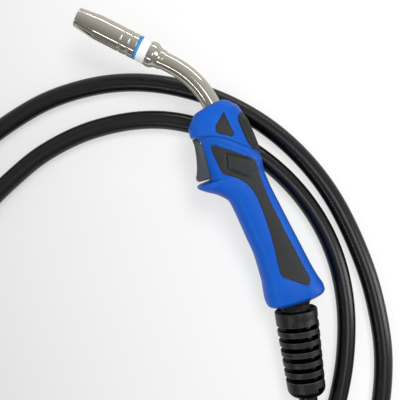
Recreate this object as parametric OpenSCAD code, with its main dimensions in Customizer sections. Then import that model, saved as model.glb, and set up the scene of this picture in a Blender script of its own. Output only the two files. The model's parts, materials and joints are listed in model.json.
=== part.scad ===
// Gas-cooled MIG welding torch: conical nozzle, swan neck, moulded pistol handle,
// swivelling cable support and a 3 m cable that ends in a central connector.
// It lies on its right side, trigger towards -X and nozzle towards +Y.

/* [Handle] */
// Length of the moulded handle, from the butt to the top of the head
handle_l = 181.5; // [160:0.5:220]
// Added to the width of the handle everywhere
extra_w = 0; // [-2:0.5:6]
// Greatest thickness of the two shells together
handle_t = 43; // [40:0.5:54]
// Wall of the shells
wall = 2.8; // [2.2:0.1:3.4]
// How deep the rubber inlays, the name plate and the thumb pad sit in the shells
inlay_deep = 1.3; // [0.8:0.1:1.6]
// How far the inlays stand proud of the shells
inlay_proud = 0.5; // [0.2:0.1:1]
// Clearance all round an inlay in its pocket
inlay_gap = 0.15; // [0.05:0.05:0.3]

/* [Trigger] */
// Width of the trigger
trigger_w = 20; // [14:0.5:22]
// Diameter of the trigger's pivot pin
pin_d = 3; // [2:0.5:4]
// Angle of the full pull, in degrees
trigger_pull = 5.5; // [3:0.5:6]

/* [Neck] */
// Outer diameter of the swan neck
neck_d = 15; // [14:0.5:18]
// Radius of the bend, at the middle of the tube
bend_r = 77; // [60:1:110]
// Direction of the nozzle, in degrees from the handle's long axis
nozzle_lean = 46.4; // [30:0.2:60]
// Straight stretch from the bend to the face that the insulator seats on
front_l = 20.8; // [18:0.2:40]
// Outer diameter of the copper tube that carries the current
conductor_d = 8; // [7:0.5:9]
// Outer diameter of the wire liner
liner_d = 3.8; // [3:0.1:4.5]

/* [Gas nozzle] */
// Length of the gas nozzle
nozzle_l = 54; // [50:0.5:75]
// Outer diameter at the mouth
mouth_d = 16.4; // [16:0.2:18]
// Bore at the mouth
mouth_bore = 14; // [12:0.5:15]
// Outer diameter of the rear sleeve
sleeve_d = 20.6; // [19:0.2:24]
// Length of the white insulator
insulator_l = 7.4; // [5:0.2:10]
// Length of the blue seal
seal_l = 2.5; // [1.5:0.1:4]
// How far the contact tip sits back from the mouth
tip_back = 6; // [4.5:0.5:10]
// Welding wire, which sets the contact tip's bore
wire_d = 1; // [0.8:0.1:1.6]

/* [Cable] */
// Outer diameter of the cable
cable_d = 16; // [13:0.5:17]

/* [Cable support] */
// Diameter of the ball in the handle's butt
ball_d = 33; // [30:0.5:35]
// Outer diameter of the support at its collar
support_d = 36.8; // [34:0.2:40]
// Outer diameter of the support at its far end
support_end_d = 33; // [30:0.2:36]
// Distance from the ball's centre to the support's far end
support_l = 90; // [80:1:110]
// Number of slots cut from the upper side
slots = 6; // [3:1:8]
// Distance from slot to slot
slot_pitch = 8.9; // [7:0.1:10]
// Width of each slot
slot_w = 4.1; // [2:0.1:4.4]
// Sideways lean of the support, in degrees
support_bend = 9; // [0:1:10]

/* [Connector] */
// Diameter of the plain gas and current spigot
spigot_d = 10.5; // [9:0.1:12]
// How far the spigot stands out of the hand nut
spigot_out = 18; // [16:0.5:24]
// Outer diameter of the hand nut
hand_nut_d = 46; // [42:0.5:56]
// Length of the hand nut
hand_nut_l = 30; // [24:0.5:40]
// Diameter of the two control pins
control_pin_d = 4; // [3:0.5:5]

/* [Hidden] */

$fn = 48;
run_gap = 0.05;    // radial clearance of a running fit
seat_gap = 0.3;    // gap between seated pieces that move apart
skin_power = 2.7;  // squareness of the handle's cross-section
arc_steps = 12;    // facets round half a cross-section of the handle

cable_r = cable_d / 2;
neck_r = neck_d / 2;
ball_r = ball_d / 2;
butt_y = 4.5;        // the butt's edge, in the handle's frame
head_y = handle_l + butt_y;
ball_x = 3;
ball_y = 12;
// The butt lies just over the table, and the head rests on the cable.
butt_z = handle_t / 2 - 0.3;
crossing_y = 150;    // the loops cross under the head here
tilt = asin((cable_d + 0.5) / crossing_y);

// ---- the handle's form ------------------------------------------------------------------
// [distance, front x, back x, half thickness less than the greatest]
// A distance below zero is counted back from the top of the head.
STATIONS = [
  [butt_y, -15.2, 23.6, 3.8], [5.6, -18.8, 26.4, 1.8], [8, -21.2, 28.6, 0.5], [12, -22, 29, 0],
  [20, -21.4, 26.9, 0.3], [30, -20.2, 24.4, 1.1], [50, -19.9, 20.6, 2.2], [70, -22.1, 16.8, 2.7],
  [-96, -24.5, 13.1, 2.7], [-83, -26.8, 10.8, 2.3], [-75, -33.7, 9.8, 1.9],
  [-66, -46.9, 9, 1.3], [-63.2, -48.5, 9.1, 1.1], [-62, -46.4, 9.3, 1], [-61.5, -38.2, 9.4, 1],
  [-56, -37.4, 10, 0.8], [-38, -37.4, 8.8, 0.3], [-26, -38.8, 7.4, 0], [-23, -41.9, 6.9, 0],
  [-16, -41.8, 5.8, 0.2], [-8, -36.2, 3.2, 1.4], [-4.5, -32.5, -0.5, 3], [-2, -24, -2.8, 5],
  [-0.01, -15, -7, 8.5]
];

// [distance, front edge, back edge] of the rubber inlay in each side
INLAY = [
  [19, 13, 15], [20.5, 10, 17.2], [24, 6, 17.3], [27.5, 2.9, 17], [31, -1.5, 16.4],
  [34.5, -4, 15.9], [38, -4.5, 15.2], [53, -3.6, 12.3], [67, -2.9, 9.6], [-107, -2.9, 7.5],
  [-95, -3.5, 5.5], [-84, -4.6, 4], [-75.5, -7.2, 2.9], [-69, -10.9, 2.6], [-64, -16.4, 2.8],
  [-59.5, -23.6, 3], [-57, -25.3, 2.9], [-54, -26.2, 1.3], [-47, -27.4, -6.7],
  [-40, -28.1, -16.4], [-35.5, -28.2, -22.8], [-33, -26.8, -25.4]
];

// the same for the blank name plate, a rounded triangle on the left of the head
PLATE = [
  [-30.5, -10.4, -9], [-29, -12.5, -7.7], [-24.7, -20, -8.4], [-22.5, -21, -8.8],
  [-19.6, -20.4, -9.2], [-15, -16, -10], [-10.4, -11.4, -10.4]
];

// [distance, inner edge] of the thumb pad, which wraps over the spine
PAD = [
  [-51.5, 9.4], [-48.7, 7.6], [-45.4, 3.7], [-41, 1.5], [-29, -0.2], [-19.3, -1.1],
  [-16.5, 0.2], [-14.5, 2.6]
];

function along(d) = d < 0 ? head_y + d : d;
function table_y(t) = [for (row = t) along(row[0])];
function chord(t, c, i) =
  (t[i + 1][c] - t[i][c]) / (along(t[i + 1][0]) - along(t[i][0]));
function slope(t, c, i) =
  i == 0 ? chord(t, c, 0)
  : i == len(t) - 1 ? chord(t, c, i - 1)
  : let (a = chord(t, c, i - 1), b = chord(t, c, i)) a * b <= 0 ? 0 : 2 * a * b / (a + b);
function segment(t, y, i = 0) =
  i >= len(t) - 2 || y <= along(t[i + 1][0]) ? i : segment(t, y, i + 1);
// smooth curve through column c of a table, which never swings past its points
function smooth(t, c, y) =
  let (
    i = segment(t, y),
    y0 = along(t[i][0]),
    h = along(t[i + 1][0]) - y0,
    u = min(max((y - y0) / h, 0), 1),
    v = 1 - u
  )
  t[i][c] * v * v * (1 + 2 * u) + t[i + 1][c] * u * u * (3 - 2 * u)
  + h * u * v * (slope(t, c, i) * v - slope(t, c, i + 1) * u);

function front_x(y) = smooth(STATIONS, 1, y) - extra_w / 2;
function back_x(y) = smooth(STATIONS, 2, y) + extra_w / 2;
function mid_x(y) = (front_x(y) + back_x(y)) / 2;
function half_w(y) = (back_x(y) - front_x(y)) / 2;
function half_t(y) = handle_t / 2 - smooth(STATIONS, 3, y);
function bulge(v) = sign(v) * pow(abs(v), 2 / skin_power);
// point of the skin at angle a round the section, 0 at the spine, moved out by grow
function skin(y, a, grow) = [
  mid_x(y) + (half_w(y) + grow) * bulge(cos(a)),
  y,
  (half_t(y) + grow) * bulge(sin(a))
];
// height of the skin over the parting plane at x, y
function skin_z(x, y) =
  let (c = min(abs(x - mid_x(y)) / half_w(y), 1))
  half_t(y) * pow(1 - pow(c, skin_power), 1 / skin_power);

// closed solid through rings with the same number of points, anticlockwise from behind;
// a curved ring, there and back, has ends made of strips
module loft(rings, curved = false) {
  n = len(rings[0]);
  m = len(rings);
  sides = [
    for (i = [0:m - 2], j = [0:n - 1])
      let (a = i * n + j, b = i * n + (j + 1) % n)
      each [[a, b + n, a + n], [a, b, b + n]]
  ];
  cap = curved
    ? [for (j = [0:n / 2 - 2]) [j, j + 1, n - 2 - j, n - 1 - j]]
    : [[for (j = [0:n - 1]) j]];
  first = [for (c = cap) [for (j = [len(c) - 1:-1:0]) c[j]]];
  last = [for (c = cap) [for (j = c) (m - 1) * n + j]];
  polyhedron([for (r = rings) each r], concat(sides, first, last));
}

// distances of the stations with one more between each pair that lies far apart
function ring_places(t) = [
  for (i = [0:len(t) - 1])
    each let (y = along(t[i][0]))
    i == len(t) - 1 ? [y] : along(t[i + 1][0]) - y > 6 ? [y, (y + along(t[i + 1][0])) / 2] : [y]
];

module half_handle() {
  loft([
    for (y = ring_places(STATIONS))
      [for (k = [0:arc_steps]) skin(y, 180 * k / arc_steps, 0)]
  ]);
}

// the hollow inside one shell, which stops short of the finger guard
cavity_start = 28;
cavity_end = 3.5;
cavity_places = [cavity_start, 38, 54, 72, -96, -83, -72, -60, -45, -30, -18, -9, -cavity_end];
cavity_front = -35;
module half_cavity(skin_wall) {
  steps = 8;
  loft([
    for (d = cavity_places)
      let (
        y = along(d),
        f = max(front_x(y) + skin_wall, cavity_front),
        b = back_x(y) - skin_wall,
        t = half_t(y) - skin_wall
      )
      concat(
        [[b, y, -1]],
        [
          for (k = [0:steps])
            let (a = 180 * k / steps)
            [(f + b) / 2 + (b - f) / 2 * bulge(cos(a)), y, t * bulge(sin(a))]
        ],
        [[f, y, -1]]
      )
  ]);
}

// a piece of skin between two edges of a table, from deep under the skin to high over it
module skin_patch(t, high, deep, spread) {
  across = 6;
  places = ring_places(t);
  last = len(places) - 1;
  loft([
    for (i = [0:last])
      let (
        y = places[i] + (i == 0 ? -spread : i == last ? spread : 0),
        x0 = smooth(t, 1, places[i]) - spread,
        x1 = smooth(t, 2, places[i]) + spread,
        xs = [for (k = [0:across]) x0 + (x1 - x0) * k / across]
      )
      concat(
        [for (k = [across:-1:0]) [xs[k], y, skin_z(xs[k], y) + high]],
        [for (k = [0:across]) [xs[k], y, skin_z(xs[k], y) - deep]]
      )
  ], true);
}

// a piece of skin that wraps over the spine
module spine_patch(t, high, deep, spread) {
  across = 11;
  places = ring_places(t);
  last = len(places) - 1;
  loft([
    for (i = [0:last])
      let (
        y = places[i] + (i == 0 ? -spread : i == last ? spread : 0),
        c = (smooth(t, 1, places[i]) - spread - mid_x(y)) / half_w(y),
        reach = acos(pow(min(max(c, 0.02), 0.995), skin_power / 2))
      )
      concat(
        [for (k = [0:across]) skin(y, reach * (2 * k / across - 1), high)],
        [for (k = [across:-1:0]) skin(y, reach * (2 * k / across - 1), -deep)]
      )
  ], true);
}

// ---- frames -----------------------------------------------------------------------------
// The core is a straight line from the ball to where the neck starts to bend.
neck_x = -16.1;      // where the core leaves the top of the head
bend_inside = 6.5;   // the bend starts this far inside the head
core_lean = atan((ball_x - neck_x) / (head_y - bend_inside - ball_y));
core_l = (head_y - bend_inside - ball_y) / cos(core_lean);
bend_angle = nozzle_lean - core_lean;
ball_z = butt_z + ball_y * sin(tilt);
end_round_r = 13.5;  // the support's far end is rounded down to this radius
support_drop = asin((ball_z - support_end_d / 2) / (support_l - 4));

// middle of the object's outline on the table, so that the origin lies under it
nozzle_reach = front_l + insulator_l + seal_l + nozzle_l;
bend_x = ball_x - core_l * sin(core_lean) - bend_r * (cos(core_lean) - cos(nozzle_lean));
bend_y = ball_y + core_l * cos(core_lean) + bend_r * (sin(nozzle_lean) - sin(core_lean));
tip_x = bend_x - nozzle_reach * sin(nozzle_lean);
tip_y = bend_y + nozzle_reach * cos(nozzle_lean);
x_low = tip_x - mouth_d / 2 * cos(nozzle_lean);
x_high = 29 + extra_w / 2;
y_high = tip_y * cos(tilt) + mouth_d / 2 * norm([sin(nozzle_lean) * cos(tilt), sin(tilt)]);
y_low = ball_y * cos(tilt) - support_l * cos(support_bend) * cos(support_drop)
  - end_round_r * sin(support_bend);
shift = [-(x_low + x_high) / 2, -(y_low + y_high) / 2, 0];

module lie_down() {
  translate(shift + [0, 0, butt_z]) rotate([tilt, 0, 0]) children();
}
module core() {
  lie_down() translate([ball_x, ball_y, 0]) rotate([0, 0, core_lean]) children();
}
module front() {
  core() translate([-bend_r, core_l, 0]) rotate([0, 0, bend_angle])
    translate([bend_r, 0, 0]) children();
}
// +Y runs from the ball down the cable support
module support() {
  translate(shift + [ball_x, ball_y * cos(tilt), ball_z]) rotate([0, 0, 180 - support_bend])
    rotate([-support_drop, 0, 0]) children();
}

module rod(r, y0, y1) {
  translate([0, y0, 0]) rotate([-90, 0, 0]) cylinder(r = r, h = y1 - y0);
}
module pipe(r, bore, y0, y1) {
  difference() {
    rod(r, y0, y1);
    rod(bore, y0 - 1, y1 + 1);
  }
}
// profile points are [radius, distance]
module turned(profile) {
  rotate([-90, 0, 0]) rotate_extrude() polygon(profile);
}
module hex_bar(across_flats, y0, y1) {
  translate([0, y0, 0]) rotate([-90, 30, 0])
    cylinder(d = across_flats / cos(30), h = y1 - y0, $fn = 6);
}
// pipe that follows the neck: back before the bend, ahead after it; the straight runs
// end inside the wall of the bend
join_in = 0.4;
join_step = 0.04;
module neck_pipe(r, bore, back, ahead) {
  core() translate([0, core_l, 0]) pipe(r - join_step, bore + join_step, -back, join_in);
  core() translate([-bend_r, core_l, 0]) rotate_extrude(angle = bend_angle)
    translate([bend_r, 0]) difference() {
      circle(r);
      circle(bore);
    }
  front() pipe(r - join_step, bore + join_step, -join_in, ahead);
}

// ---- gas nozzle and tip -----------------------------------------------------------------
seat_y = front_l;                       // the insulator seats here, in the front frame
seal_y = seat_y + insulator_l;
nozzle_y = seal_y + seal_l;
mouth_y = nozzle_y + nozzle_l;
mouth_l = 1.2;                          // straight stretch at the mouth
taper_l = 17;
band_r = sleeve_d / 2;
sleeve_bore = band_r - 1.5;
groove = 0.45;
hub_r = 7.4;                            // insulating hub under the nozzle's rear

module gas_nozzle() {
  m = mouth_d / 2;
  back = nozzle_y;
  color("silver") front() difference() {
    turned([
      [0, mouth_y], [m - 0.5, mouth_y], [m, mouth_y - 0.5], [m, mouth_y - mouth_l],
      [band_r, mouth_y - mouth_l - taper_l], [band_r, back + 14], [band_r - groove, back + 13.4],
      [band_r - groove, back + 12.6], [band_r, back + 12], [band_r, back + 7],
      [band_r - groove, back + 6.4], [band_r - groove, back + 5.6], [band_r, back + 5],
      [band_r, back + 0.4], [band_r - 0.4, back], [0, back]
    ]);
    turned([
      [0, back - 1], [sleeve_bore, back - 1], [sleeve_bore, mouth_y - mouth_l - taper_l - 2],
      [mouth_bore / 2, mouth_y - mouth_l - 2], [mouth_bore / 2, mouth_y + 1], [0, mouth_y + 1]
    ]);
  }
}

// the spring grips the nozzle's bore, wound on the insulating hub
spring_wire = 1;
spring_turns = 4;
spring_l = 12;
spring_r = sleeve_bore - run_gap * 2 - spring_wire / 2;
module nozzle_spring() {
  steps = 24;
  y0 = nozzle_y + 2;
  echo("least gap between the turns of the spring", spring_l / spring_turns - spring_wire);
  color("dimgray") front() loft([
    for (i = [0:steps * spring_turns])
      let (a = 360 * i / steps, y = y0 + spring_l * i / (steps * spring_turns))
      [
        for (k = [0:5])
          let (b = 60 * k, rr = spring_r + spring_wire / 2 * cos(b))
          [rr * cos(a), y + spring_wire / 2 * sin(b), -rr * sin(a)]
      ]
  ]);
}
module seal_ring() {
  color("dodgerblue") front() turned([
    [hub_r + run_gap, seal_y], [band_r - 0.6, seal_y], [band_r + 0.1, seal_y + 0.5],
    [band_r + 0.1, nozzle_y - seat_gap - 0.4], [band_r - 0.4, nozzle_y - seat_gap],
    [hub_r + run_gap, nozzle_y - seat_gap]
  ]);
}
module insulator_ring() {
  hub_end = nozzle_y + spring_l + 2.6;
  color("white") front() turned([
    [bush_r, seat_y], [band_r - 0.3, seat_y], [band_r, seat_y + 0.5], [band_r, seal_y - 0.3],
    [band_r - 0.3, seal_y], [hub_r, seal_y], [hub_r, hub_end], [bush_r, hub_end]
  ]);
}
bush_r = 5.6;                           // bore of the insulating hub
holder_end = mouth_y - tip_back - 24;
module tip_holder() {
  color("goldenrod") front() difference() {
    union() {
      rod(bush_r - run_gap, seat_y + 0.2, nozzle_y + spring_l + 6);
      hex_bar(10, nozzle_y + spring_l + 6, holder_end);
    }
    rod(conductor_d / 2 + run_gap, seat_y - 1, seat_y + 9);
    rod(liner_d / 2 + run_gap, seat_y, holder_end - 9);
    rod(3, holder_end - 9, holder_end + 1);
    for (a = [0:60:300])
      translate([0, holder_end - 8.5, 0]) rotate([0, a, 0]) cylinder(r = 0.9, h = 10);
  }
}
module contact_tip() {
  end = mouth_y - tip_back;
  color("peru") front() difference() {
    turned([
      [0, holder_end - 8], [2.98, holder_end - 8], [2.98, holder_end], [4, holder_end],
      [4, end - 4], [2.6, end], [0, end]
    ]);
    rod(wire_d / 2 + 0.1, holder_end - 9, end + 1);
    rod(1.4, holder_end - 9, end - 16);
    for (s = [-1, 1])
      translate([s * 4.3 - 1, holder_end + 3, -5]) cube([2, 7, 10]);
  }
}

// ---- neck -------------------------------------------------------------------------------
jacket_wall = 1;
fitting_front = 124;                    // the jacket starts here, measured from the ball
jacket_back = core_l - fitting_front - seat_gap;
module neck_collar() {
  flange_r = 10.8;
  color("silver") front() difference() {
    turned([
      [neck_r + run_gap, seat_y - 14], [neck_r + 0.7, seat_y - 14], [neck_r + 0.9, seat_y - 10],
      [neck_r + 1.6, seat_y - 8.2], [flange_r - 0.7, seat_y - 6.6], [flange_r, seat_y - 5],
      [flange_r, seat_y - 2], [flange_r - 0.5, seat_y - 0.6], [band_r, seat_y],
      [neck_r + run_gap, seat_y]
    ]);
  }
}
module neck_tube() {
  color("silver") neck_pipe(neck_r, neck_r - jacket_wall, jacket_back, seat_y);
}
module neck_insulation() {
  color("ivory") neck_pipe(
    neck_r - jacket_wall - run_gap, conductor_d / 2 + run_gap, jacket_back, seat_y
  );
}
conductor_back = jacket_back + 12;
module neck_conductor() {
  color("peru") neck_pipe(
    conductor_d / 2, liner_d / 2 + run_gap, conductor_back, seat_y + 8.8
  );
}
module wire_liner() {
  color("gray") union() {
    neck_pipe(liner_d / 2, 0.9, core_l - terminal_y, holder_end - 9.2);
  }
}
// distances from the ball along the core
terminal_y = 56;
flange_y = 82;
joint_y = 86;
nut_end = 98;
module neck_fitting() {
  color("goldenrod") core() difference() {
    union() {
      rod(8, joint_y, nut_end + 0.6);
      hex_bar(19, nut_end + 0.4, 105);
      rod(neck_r - jacket_wall - run_gap, 104, fitting_front);
    }
    rod(liner_d / 2 + run_gap, joint_y - 1, fitting_front + 1);
    rod(conductor_d / 2 + run_gap, core_l - conductor_back - 0.2, fitting_front + 1);
  }
}

// ---- cable inside the handle --------------------------------------------------------------
module cable_terminal() {
  color("goldenrod") core() difference() {
    union() {
      rod(5.5, terminal_y, flange_y);
      rod(8, flange_y, joint_y);
    }
    rod(liner_d / 2 + run_gap, terminal_y - 1, joint_y + 1);
  }
}
module cable_nut() {
  color("goldenrod") core() difference() {
    hex_bar(20, flange_y - 5, nut_end);
    rod(5.5 + run_gap, flange_y - 6, nut_end);
    rod(8 + run_gap, flange_y, nut_end + 1);
  }
}
module cable_inner() {
  color([0.08, 0.08, 0.09]) core() rod(cable_r, kink_gap, terminal_y);
}

// ---- shells -----------------------------------------------------------------------------
// [x, distance] of the five screws, which enter from the right
SCREWS = [[-14, 31], [-18, 77], [-30, -71], [-30.5, -14.5], [-4.5, -11]];
screw_shank = 1.5;
screw_head = 2.9;
boss_r = 3.4;
screw_seat = 12;                        // the heads seat this far from the parting plane
pivot = [-34.6, head_y - 28.5];       // the trigger's pivot
slot_back = -25.6;                      // floor of the trigger's slot
plunger_y = pivot[1] - 14;
switch_x = -27;
switch_size = [6.3, 12.8, 6];
post_start = switch_size[2] / 2 + 0.1;  // the switch posts stand on its side, and their
post_end = handle_t / 2 - 3;            // other ends lie inside the skin

// what both shells have, for the half over the parting plane
module shell_half(screw_bore) {
  difference() {
    union() {
      difference() {
        half_handle();
        half_cavity(wall);
      }
      intersection() {
        half_handle();
        union() {
          for (s = SCREWS) translate([s[0], along(s[1]), 0]) cylinder(r = boss_r, h = 30);
          translate([pivot[0], pivot[1], trigger_w / 2 + 0.4]) cylinder(r = 4.2, h = 30);
        }
      }
    }
    // trigger slot with its pin holes
    translate([-70, head_y - 61, -1]) cube([70 + slot_back, 38, trigger_w / 2 + 1.4]);
    translate([pivot[0], pivot[1], -1]) cylinder(r = pin_d / 2, h = trigger_w / 2 + 6);
    for (s = SCREWS) translate([s[0], along(s[1]), -1]) cylinder(r = screw_bore, h = 18);
    // ball socket, and the way of the cable through it
    translate([ball_x, ball_y, 0]) sphere(r = ball_r + seat_gap, $fn = 64);
    translate([ball_x, ball_y, 0]) rotate([0, 0, core_lean]) rod(10.5, 12, 24);
    translate([ball_x, ball_y, 0]) rotate([0, 0, core_lean]) neck_way();
    spine_patch(PAD, 6, inlay_deep + inlay_gap, inlay_gap);
    skin_patch(INLAY, 6, inlay_deep + inlay_gap, inlay_gap);
  }
}
// room for the neck in the top of the head
module neck_way() {
  rod(neck_r + run_gap + join_step, core_l - 30, core_l + join_in);
  translate([-bend_r, core_l, 0]) rotate_extrude(angle = 30)
    translate([bend_r, 0]) circle(neck_r + run_gap);
}
module saddle(y, r) {
  difference() {
    translate([-12, y, 0]) cube([24, 2.4, handle_t / 2 + 0.5]);
    rod(r + run_gap, y - 1, y + 4);
  }
}
// ribs that hold the core: two for the cable and one for the neck
module saddles() {
  intersection() {
    half_cavity(wall - 0.8);
    translate([ball_x, ball_y, 0]) rotate([0, 0, core_lean]) {
      saddle(34, cable_r);
      saddle(48, cable_r);
      saddle(141, neck_r);
    }
  }
}
module handle_left() {
  color("royalblue") lie_down() difference() {
    union() {
      shell_half(screw_shank + 0.02);
      saddles();
      // posts for the switch
      for (y = [plunger_y - 3.3, plunger_y + 3.3]) translate([switch_x + 4.4, y, 0]) {
        translate([0, 0, post_start]) cylinder(r = 2, h = post_end - post_start);
        translate([0, 0, -2.6]) cylinder(r = 0.95, h = 8);
      }
    }
    skin_patch(PLATE, 6, inlay_deep + inlay_gap, inlay_gap);
  }
}
module handle_right() {
  color("royalblue") lie_down() mirror([0, 0, 1]) difference() {
    union() {
      shell_half(screw_shank + 0.2);
      saddles();
    }
    for (s = SCREWS)
      translate([s[0], along(s[1]), screw_seat]) cylinder(r = screw_head + 0.2, h = 25);
  }
}
module grip_inlay_left() {
  color([0.23, 0.23, 0.24]) lie_down() skin_patch(INLAY, inlay_proud, inlay_deep, 0);
}
module grip_inlay_right() {
  color([0.23, 0.23, 0.24]) lie_down() mirror([0, 0, 1])
    skin_patch(INLAY, inlay_proud, inlay_deep, 0);
}
module name_plate() {
  color([0.13, 0.13, 0.14]) lie_down() skin_patch(PLATE, 0.1, inlay_deep, 0);
}
module thumb_pad() {
  color([0.15, 0.15, 0.16]) lie_down() spine_patch(PAD, inlay_proud + 0.3, inlay_deep, 0);
}
module handle_screws() {
  color("dimgray") lie_down() mirror([0, 0, 1])
    for (s = SCREWS) translate([s[0], along(s[1]), 0]) difference() {
      union() {
        translate([0, 0, -12]) cylinder(r = screw_shank, h = 12.2 + screw_seat);
        translate([0, 0, screw_seat]) cylinder(r = screw_head, h = 2.2);
      }
      translate([-0.5, -2, screw_seat + 1.1]) cube([1, 4, 2]);
      translate([-2, -0.5, screw_seat + 1.1]) cube([4, 1, 2]);
    }
}

// ---- trigger and switch -----------------------------------------------------------------
// side view of the trigger, about its pivot
TRIGGER = [
  [-5.8, 3.6], [-6.4, -3], [-7.4, -9.5], [-8.5, -14.5], [-9.8, -19.5], [-11.4, -24],
  [-13.1, -27.4], [-13, -29.4], [-11.8, -30.4], [3, -31], [4, -30], [3.8, -17], [5.2, -15.4],
  [5.2, -12.6], [3.8, -11], [4, 0], [2.4, 4], [-2, 4.4]
];
module trigger() {
  color([0.25, 0.25, 0.26]) lie_down() translate([pivot[0], pivot[1], 0]) difference() {
    translate([0, 0, -trigger_w / 2]) linear_extrude(trigger_w) polygon(TRIGGER);
    cylinder(r = pin_d / 2 + run_gap, h = trigger_w + 2, center = true);
    // hollow behind the finger face, beside the rib that presses the switch
    for (s = [-1, 1])
      translate([-4.6, -28.8, s > 0 ? 3 : -trigger_w / 2 + 2]) cube([12, 22, trigger_w / 2 - 5]);
  }
}
module trigger_pin() {
  color("silver") lie_down() translate([pivot[0], pivot[1], 0])
    cylinder(r = pin_d / 2 - 0.02, h = trigger_w + 9, center = true);
}
module switch_body() {
  color([0.1, 0.1, 0.11]) lie_down() difference() {
    translate([switch_x, plunger_y - switch_size[1] / 2, -switch_size[2] / 2]) cube(switch_size);
    translate([switch_x + 4, plunger_y, 0]) rotate([0, -90, 0]) cylinder(r = 1.55, h = 5);
    for (y = [-3.3, 3.3])
      translate([switch_x + 4.4, plunger_y + y, 0]) cylinder(r = 1, h = 10, center = true);
  }
}
nib_x = pivot[0] + 5.2;
module switch_plunger() {
  tip = nib_x + 0.15;
  color("firebrick") lie_down() translate([tip, plunger_y, 0]) rotate([0, 90, 0])
    cylinder(r = 1.5, h = switch_x + 2.4 - tip);
}
module switch_terminals() {
  color("goldenrod") lie_down() for (z = [-2, 1.4])
    translate([switch_x + 1.2, terminals_y, z]) cube([2.6, 5, 0.6]);
}
// the two control wires run from the switch to the end of the cable's jacket
wire_r = 0.8;
WIRES = [
  [-24.5, 132], [-24.3, 126], [-22.8, 118], [-21.3, 112], [-19.9, 106], [-18.6, 96],
  [-17.6, 88], [-14.9, 82.5], [-12.3, 77.5], [-11.2, 72.5], [-10.1, 67.05]
];
terminals_y = plunger_y - switch_size[1] / 2 - 5;
function wire_y(y) = y < 88 ? y : 88 + (y - 88) * (terminals_y - 88) / (132 - 88);
module switch_wires() {
  color("crimson") lie_down() for (z = [-1.7, 1.7])
    sweep([for (w = WIRES) [w[0], wire_y(w[1]), z]], wire_r, 6, 0, len(WIRES) - 1);
}

// ---- sweeps -----------------------------------------------------------------------------
function heading(p, i) =
  let (a = p[max(i - 1, 0)], b = p[min(i + 1, len(p) - 1)]) (b - a) / norm(b - a);
// round tube from point first to point last, with its rings square to the path
module sweep(p, r, n, first, last) {
  loft([
    for (i = [first:last])
      let (
        d = heading(p, i),
        side = cross(d, [0, 0, 1]) / norm(cross(d, [0, 0, 1])),
        up = cross(side, d)
      )
      [for (k = [0:n - 1]) let (a = 360 * (k + 0.5) / n) p[i] + r * (side * cos(a) + up * sin(a))]
  ]);
}

// ---- ball, support and cable ----------------------------------------------------------------
kink_gap = 1.5;                         // the cable bends here, inside the ball
stub_r = 12.5;
stub_end = 21.5;
collar_y = 14.8;                        // the support starts here
flex_y = 29.4;                          // first slot on the upper side
module ball_joint() {
  // the bore flares towards the handle, where the cable stays still while the ball turns
  color([0.07, 0.07, 0.08]) support() rotate([-90, 0, 0]) rotate_extrude() difference() {
    union() {
      circle(r = ball_r, $fn = 96);
      square([stub_r, stub_end]);
    }
    polygon([
      [-50, -50], [cable_r + 5.6, -50], [cable_r + 5.6, -ball_r - 1], [cable_r + 1, 0],
      [cable_r + 1, 50], [-50, 50]
    ]);
  }
}
module strain_relief() {
  r0 = support_d / 2;
  r1 = support_end_d / 2;
  color([0.07, 0.07, 0.08]) support() difference() {
    turned([
      [0, collar_y], [r0 - 1.2, collar_y], [r0, collar_y + 0.9], [r0 - 0.1, collar_y + 15],
      [r1, support_l - 6], [r1 - 0.6, support_l - 3], [end_round_r, support_l], [0, support_l]
    ]);
    rod(stub_r + run_gap, collar_y - 1, stub_end + seat_gap);
    // mouth of the collar, wider than the neck of the ball
    turned([
      [0, collar_y - 1], [r0 - 2, collar_y - 1], [r0 - 2.4, collar_y + 1.6],
      [stub_r, collar_y + 3], [0, collar_y + 3]
    ]);
    rod(cable_r + 3, 0, support_l - 11);
    rod(cable_r + 0.5, 0, support_l + 1);
    for (i = [0:slots - 1]) slot(flex_y + i * slot_pitch, 46, -3.5);
    for (i = [0:slots]) slot(flex_y + (i - 0.5) * slot_pitch, 226, 7);
    // window in the end collar
    rotate([0, -42, 0]) translate([0, support_l - 6, 0]) {
      for (s = [-1, 1]) translate([s * 2.4, 0, 0]) cylinder(r = 1.8, h = 30);
      translate([-2.4, -1.8, 0]) cube([4.8, 3.6, 30]);
    }
  }
}
// saw cut from one side, down to the height floor
module slot(y, turn, floor) {
  rotate([0, turn, 0]) translate([-30, y - slot_w / 2, floor]) cube([60, slot_w, 40]);
}

// The cable leaves the support, comes down to the table, and lies in wide loops.
// [distance right of and ahead of the handle's butt, height of the middle], by hand
LEAD = [
  [-15, -92.5, 15], [-22, -108, 13], [-31, -122, 11], [-43, -134.5, 9.3], [-56, -144.8, 8.3]
];
loop_middle = [-142.8, 20.3];
// [angle, radius] of the loops about their middle, by hand, clockwise from above
LOOPS = [
  [-67, 187], [-90, 188], [-120, 185], [-150, 179], [-180, 172.5], [-210, 168.5],
  [-245, 168], [-260, 172.5], [-280, 180.6], [-300, 188], [-320, 190.5], [-352, 192],
  [-380, 190.5], [-393, 192], [-407, 198], [-425, 207], [-450, 211], [-480, 211],
  [-510, 210], [-540, 209], [-600, 209], [-615, 210.5], [-630, 215], [-650, 218],
  [-675, 216.3], [-700, 213.5], [-713, 212.5], [-728, 216], [-745, 225], [-765, 234.5],
  [-790, 237.5], [-820, 234], [-864, 230]
];
loop_start = LOOPS[0][0];
loop_end = LOOPS[len(LOOPS) - 1][0];
rise_angle = 34;                        // the end climbs to the connector over this angle
loop_rings = 104;
hand_nut_r = hand_nut_d / 2;
function loop_turn(t, a, i = 0) =
  i >= len(t) - 2 || a >= t[i + 1][0] ? i : loop_turn(t, a, i + 1);
function loop_slope(i, d) = (LOOPS[i + 1][1] - LOOPS[i][1]) / (LOOPS[i + 1][0] - LOOPS[i][0]);
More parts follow.
